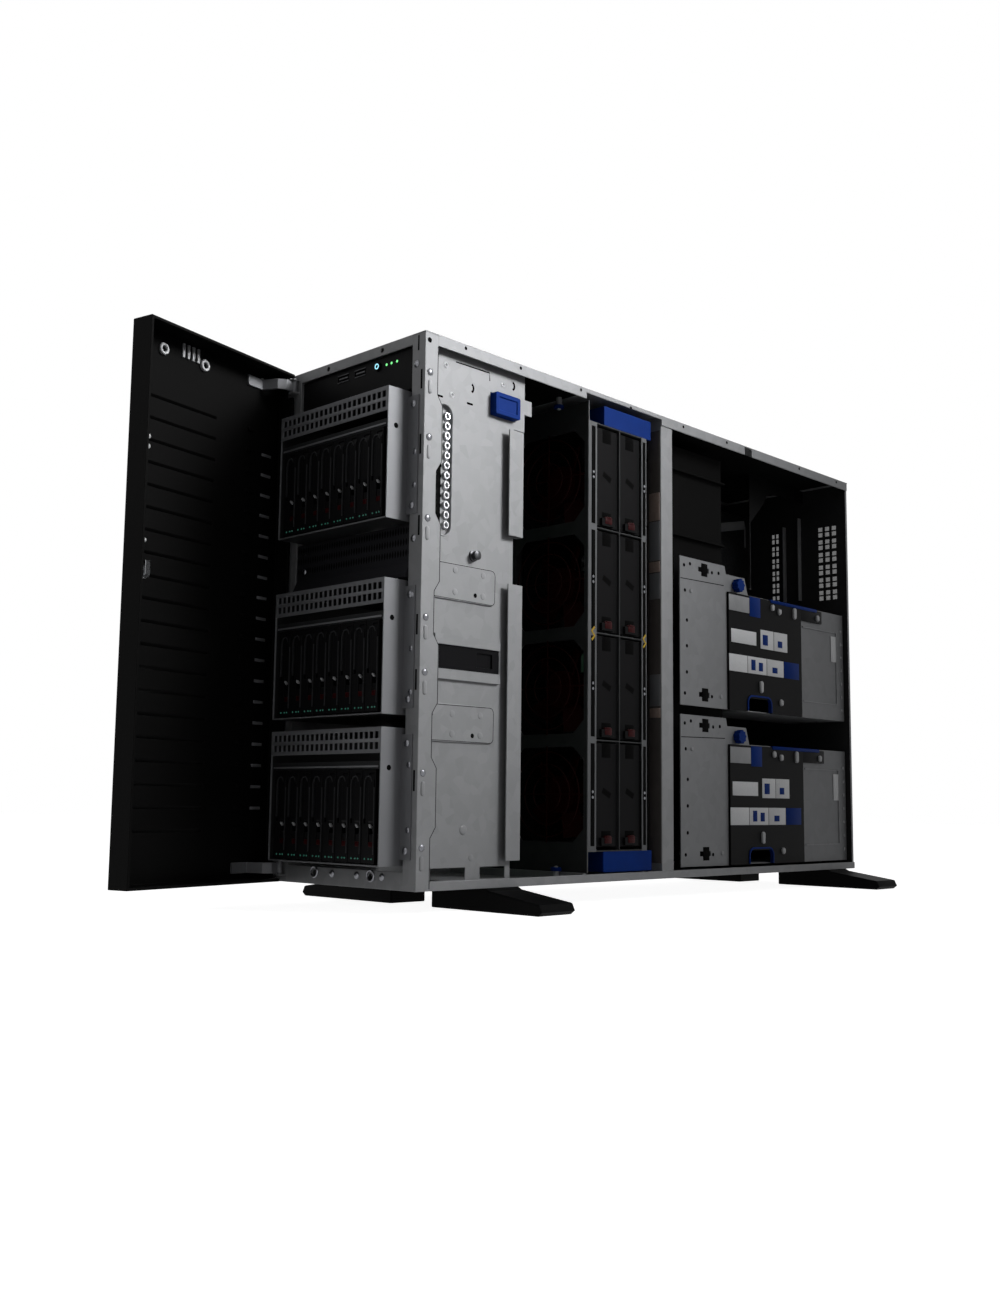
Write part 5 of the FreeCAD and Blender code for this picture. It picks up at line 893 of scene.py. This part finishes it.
# Front door: a deep moulded pan with slanted louvres, hung on two cranked steel strips.
# It is drawn closed and turned open about its hinge line, as it stands in the photograph.
# Black ABS, matt inside from a blasted core and half glossy outside from a polished cavity.
OPEN_ANGLE = math.radians(-78)
HINGE = spot(-78.3, -3, 0)
SKIN_DEPTH = 0.0232
DOOR_FLOOR = -22.0
BACK = Vector((0, 1, 0))
door_abs, tree, where = new_finish("black_abs_polished_outside")
outward = Matrix.Rotation(OPEN_ANGLE, 3, "Z") @ FRONT
skin = SKIN_DEPTH + HINGE.dot(outward)
grain = add(tree, "TexNoise", {"Scale": repeats(0.6), "Detail": 3}, where)
tone = clouded(tree, where, 40, 4, "#010101", "#040404")[1]
reach = add(tree, "VectorMath", {"operation": "DOT_PRODUCT", 1: outward}, {0: where["Vector"]})
outside = add(tree, "Math", {"operation": "GREATER_THAN", 1: skin}, {0: (reach, "Value")})
gloss = add(tree, "MapRange", {"To Min": 0.6, "To Max": 0.34}, {"Value": outside})
relief = add(tree, "Bump", {"Strength": 0.25, "Distance": 0.0001}, {"Height": grain})
add(tree, "BsdfPrincipled", {"IOR": 1.54, "Specular IOR Level": 0.03},
    {"Base Color": tone, "Roughness": gloss, "Normal": relief}, "Material")
dress(door_abs, "front_door", edge=0.5)
dress(cage_steel, "hinge_arms", edge=0.3)


def hang(mesh):
    """Turns a mesh that is measured off the hinge line of the closed door to its place on the open one."""
    turn = Matrix.Rotation(OPEN_ANGLE, 4, "Z") @ Matrix.Translation(-spot(0, 0, 0))
    bmesh.ops.transform(mesh, matrix=Matrix.Translation(HINGE) @ turn, verts=mesh.verts)


CUP = [(2.6, 0.2), (2.6, 2.2), (3.2, 2.8), (4.2, 2.8), (4.8, 2.2), (4.8, 0.2)]
PIN = [(1.8, 0), (1.8, 1.2), (1.2, 1.8), (0.3, 2)]
fittings = bmesh.new()
for across, level in ((133.8, 425.5), (88.1, 425.1)):
    turned(fittings, spot(across, DOOR_FLOOR, level), BACK, CUP, sides=24, closed=True)
for across in (112, 106.5, 101, 95.5):
    bar(fittings, (across - 1.3, DOOR_FLOOR - 0.2, 425), (across + 1.3, DOOR_FLOOR + 1.6, 437), 0.5)
for across, level in ((145.3, 351), (145.3, 343), (145.3, 268), (18, 433)):
    turned(fittings, spot(across, DOOR_FLOOR, level), BACK, PIN)
hang(fittings)
piece("door_fittings", fittings, grey_nylon, "door")
# Pale grey bars in a row along the hinge side of the door's inner floor: painted light for the light that
# shows through the louvre slots there.
SLOT_LIGHT_LEVELS = [61.0 + step * 18.0 for step in range(18)]
slot_light = bmesh.new()
for level in SLOT_LIGHT_LEVELS:
    bar(slot_light, (3.5, DOOR_FLOOR - 0.2, level - 1.3), (15.5, DOOR_FLOOR + 1.0, level + 1.3), 0.4)
hang(slot_light)
piece("door_slot_light", slot_light, cage_steel, "door")

# Door lock: a plated zinc die-cast barrel with a flat cam, held in the door by a nut.
# Bright chromium over nickel: a clear mirror with a slight orange peel.
chromium, tree, where = new_finish("chromium_plated_zinc_casting")
peel, tone = clouded(tree, where, 1.2, 2, "#b5b7ba", "#d3d5d8")
relief = add(tree, "Bump", {"Strength": 0.1, "Distance": 0.0001}, {"Height": peel})
add(tree, "BsdfPrincipled", {"Metallic": 1.0, "Roughness": 0.15},
    {"Base Color": tone, "Normal": relief}, "Material")
dress(chromium, "door_lock", edge=0.4)

# Studio: a pale paper floor that keeps the shadow, a white surround and soft lamps.
# Seen directly, in a mirror or through glass, floor and surround are white; as light they stay dim.
# Most of the light is plain and soft; one gridded lamp on the open side gives the fall-off towards the floor.
FLOOR_HALF = 6.0
WHITE = linear("#ffffff")
floor_mesh = bmesh.new()
bmesh.ops.create_grid(floor_mesh, x_segments=4, y_segments=4, size=FLOOR_HALF)
floor_data = bpy.data.meshes.new("studio_floor")
floor_mesh.to_mesh(floor_data)
floor_mesh.free()
floor = bpy.data.objects.new("studio_floor", floor_data)
bpy.context.collection.objects.link(floor)


def shown_white(tree):
    """One for rays that show the surround as a picture, nought for those that carry its light."""
    path = add(tree, "LightPath")
    seen = (path, "Is Camera Ray")
    for kind in ("Is Glossy Ray", "Is Transmission Ray"):
        seen = add(tree, "Math", {"operation": "MAXIMUM"}, {0: seen, 1: (path, kind)})
    return seen


paper_floor, tree, where = new_finish("white_studio_paper")
tone = clouded(tree, where, 30, 3, "#c8c8c8", "#d4d4d4")[1]
paper = add(tree, "BsdfPrincipled", {"Roughness": 0.9, "Specular IOR Level": 0.1}, {"Base Color": tone})
share = add(tree, "Math", {"operation": "MULTIPLY", 1: 0.92}, {0: shown_white(tree)})
white = add(tree, "Emission", {"Color": WHITE}, {"Strength": share})
add(tree, "AddShader", links={0: paper, 1: white}, output="Material")
floor_data.materials.append(paper_floor)

world = bpy.data.worlds.new("white_surround")
world.use_nodes = True
tree = world.node_tree
tree.nodes.clear()
dim = add(tree, "Background", {"Color": WHITE, "Strength": 0.1})
bright = add(tree, "Background", {"Color": WHITE, "Strength": 1.0})
add(tree, "MixShader", links={0: shown_white(tree), 1: dim, 2: bright},
    output="World")
bpy.context.scene.world = world

# Each lamp: name, place and aim in metres, side in metres, spread in degrees, power in watts.
SOFTBOXES = (
    ("fill_softbox", (1.9, -0.8, 1.5), (0, 0, 0.25), 1.2, 180, 1.2),
    ("front_softbox", (-0.5, -2.2, 1.3), (0, -0.2, 0.25), 1.2, 180, 4.4),
    ("gridded_side_softbox", (1.2, 0.4, 1.12), (0.08, -0.24, 0.54), 0.6, 38, 2.6),
    ("top_softbox", (0.3, 0.2, 2.3), (0, 0, 0.25), 1.2, 180, 4.5),
    ("rear_softbox", (-1.2, 2.0, 1.3), (0, 0.1, 0.25), 1.2, 180, 6),
)
for name, stand, aim, size, spread, power in SOFTBOXES:
    lamp = bpy.data.lights.new(name, "AREA")
    lamp.size = size
    lamp.spread = math.radians(spread)
    lamp.energy = power
    softbox = bpy.data.objects.new(name, lamp)
    softbox.location = stand
    softbox.rotation_euler = (Vector(aim) - Vector(stand)).to_track_quat("-Z", "Y").to_euler()
    bpy.context.collection.objects.link(softbox)

# Camera: at the photograph's place, low and in front of the open side, looking slightly up.
# Its turn, place and focal length come from the chassis corners in the photograph.
YAW, PITCH, ROLL = math.radians(43.92), math.radians(6.71), math.radians(0.657)
STAND = spot(826.4, -678.4, 66.9)
SENSOR = 36
FOCAL_PIXELS = 1307.9
PHOTO_HEIGHT = 1300
ahead = Vector((-math.sin(YAW) * math.cos(PITCH), math.cos(YAW) * math.cos(PITCH), math.sin(PITCH)))
level_right = Vector((math.cos(YAW), math.sin(YAW), 0))
level_up = level_right.cross(ahead)
right = level_right * math.cos(ROLL) + level_up * math.sin(ROLL)
up = level_up * math.cos(ROLL) - level_right * math.sin(ROLL)
camera_data = bpy.data.cameras.new("photo_camera")
camera_data.sensor_width = SENSOR
camera_data.lens = SENSOR * FOCAL_PIXELS / PHOTO_HEIGHT
camera_data.clip_start = 0.01
camera = bpy.data.objects.new("photo_camera", camera_data)
camera.matrix_world = Matrix.Translation(STAND) @ Matrix((right, up, -ahead)).transposed().to_4x4()
bpy.context.collection.objects.link(camera)
bpy.context.scene.camera = camera
bpy.context.scene.view_settings.view_transform = "Standard"
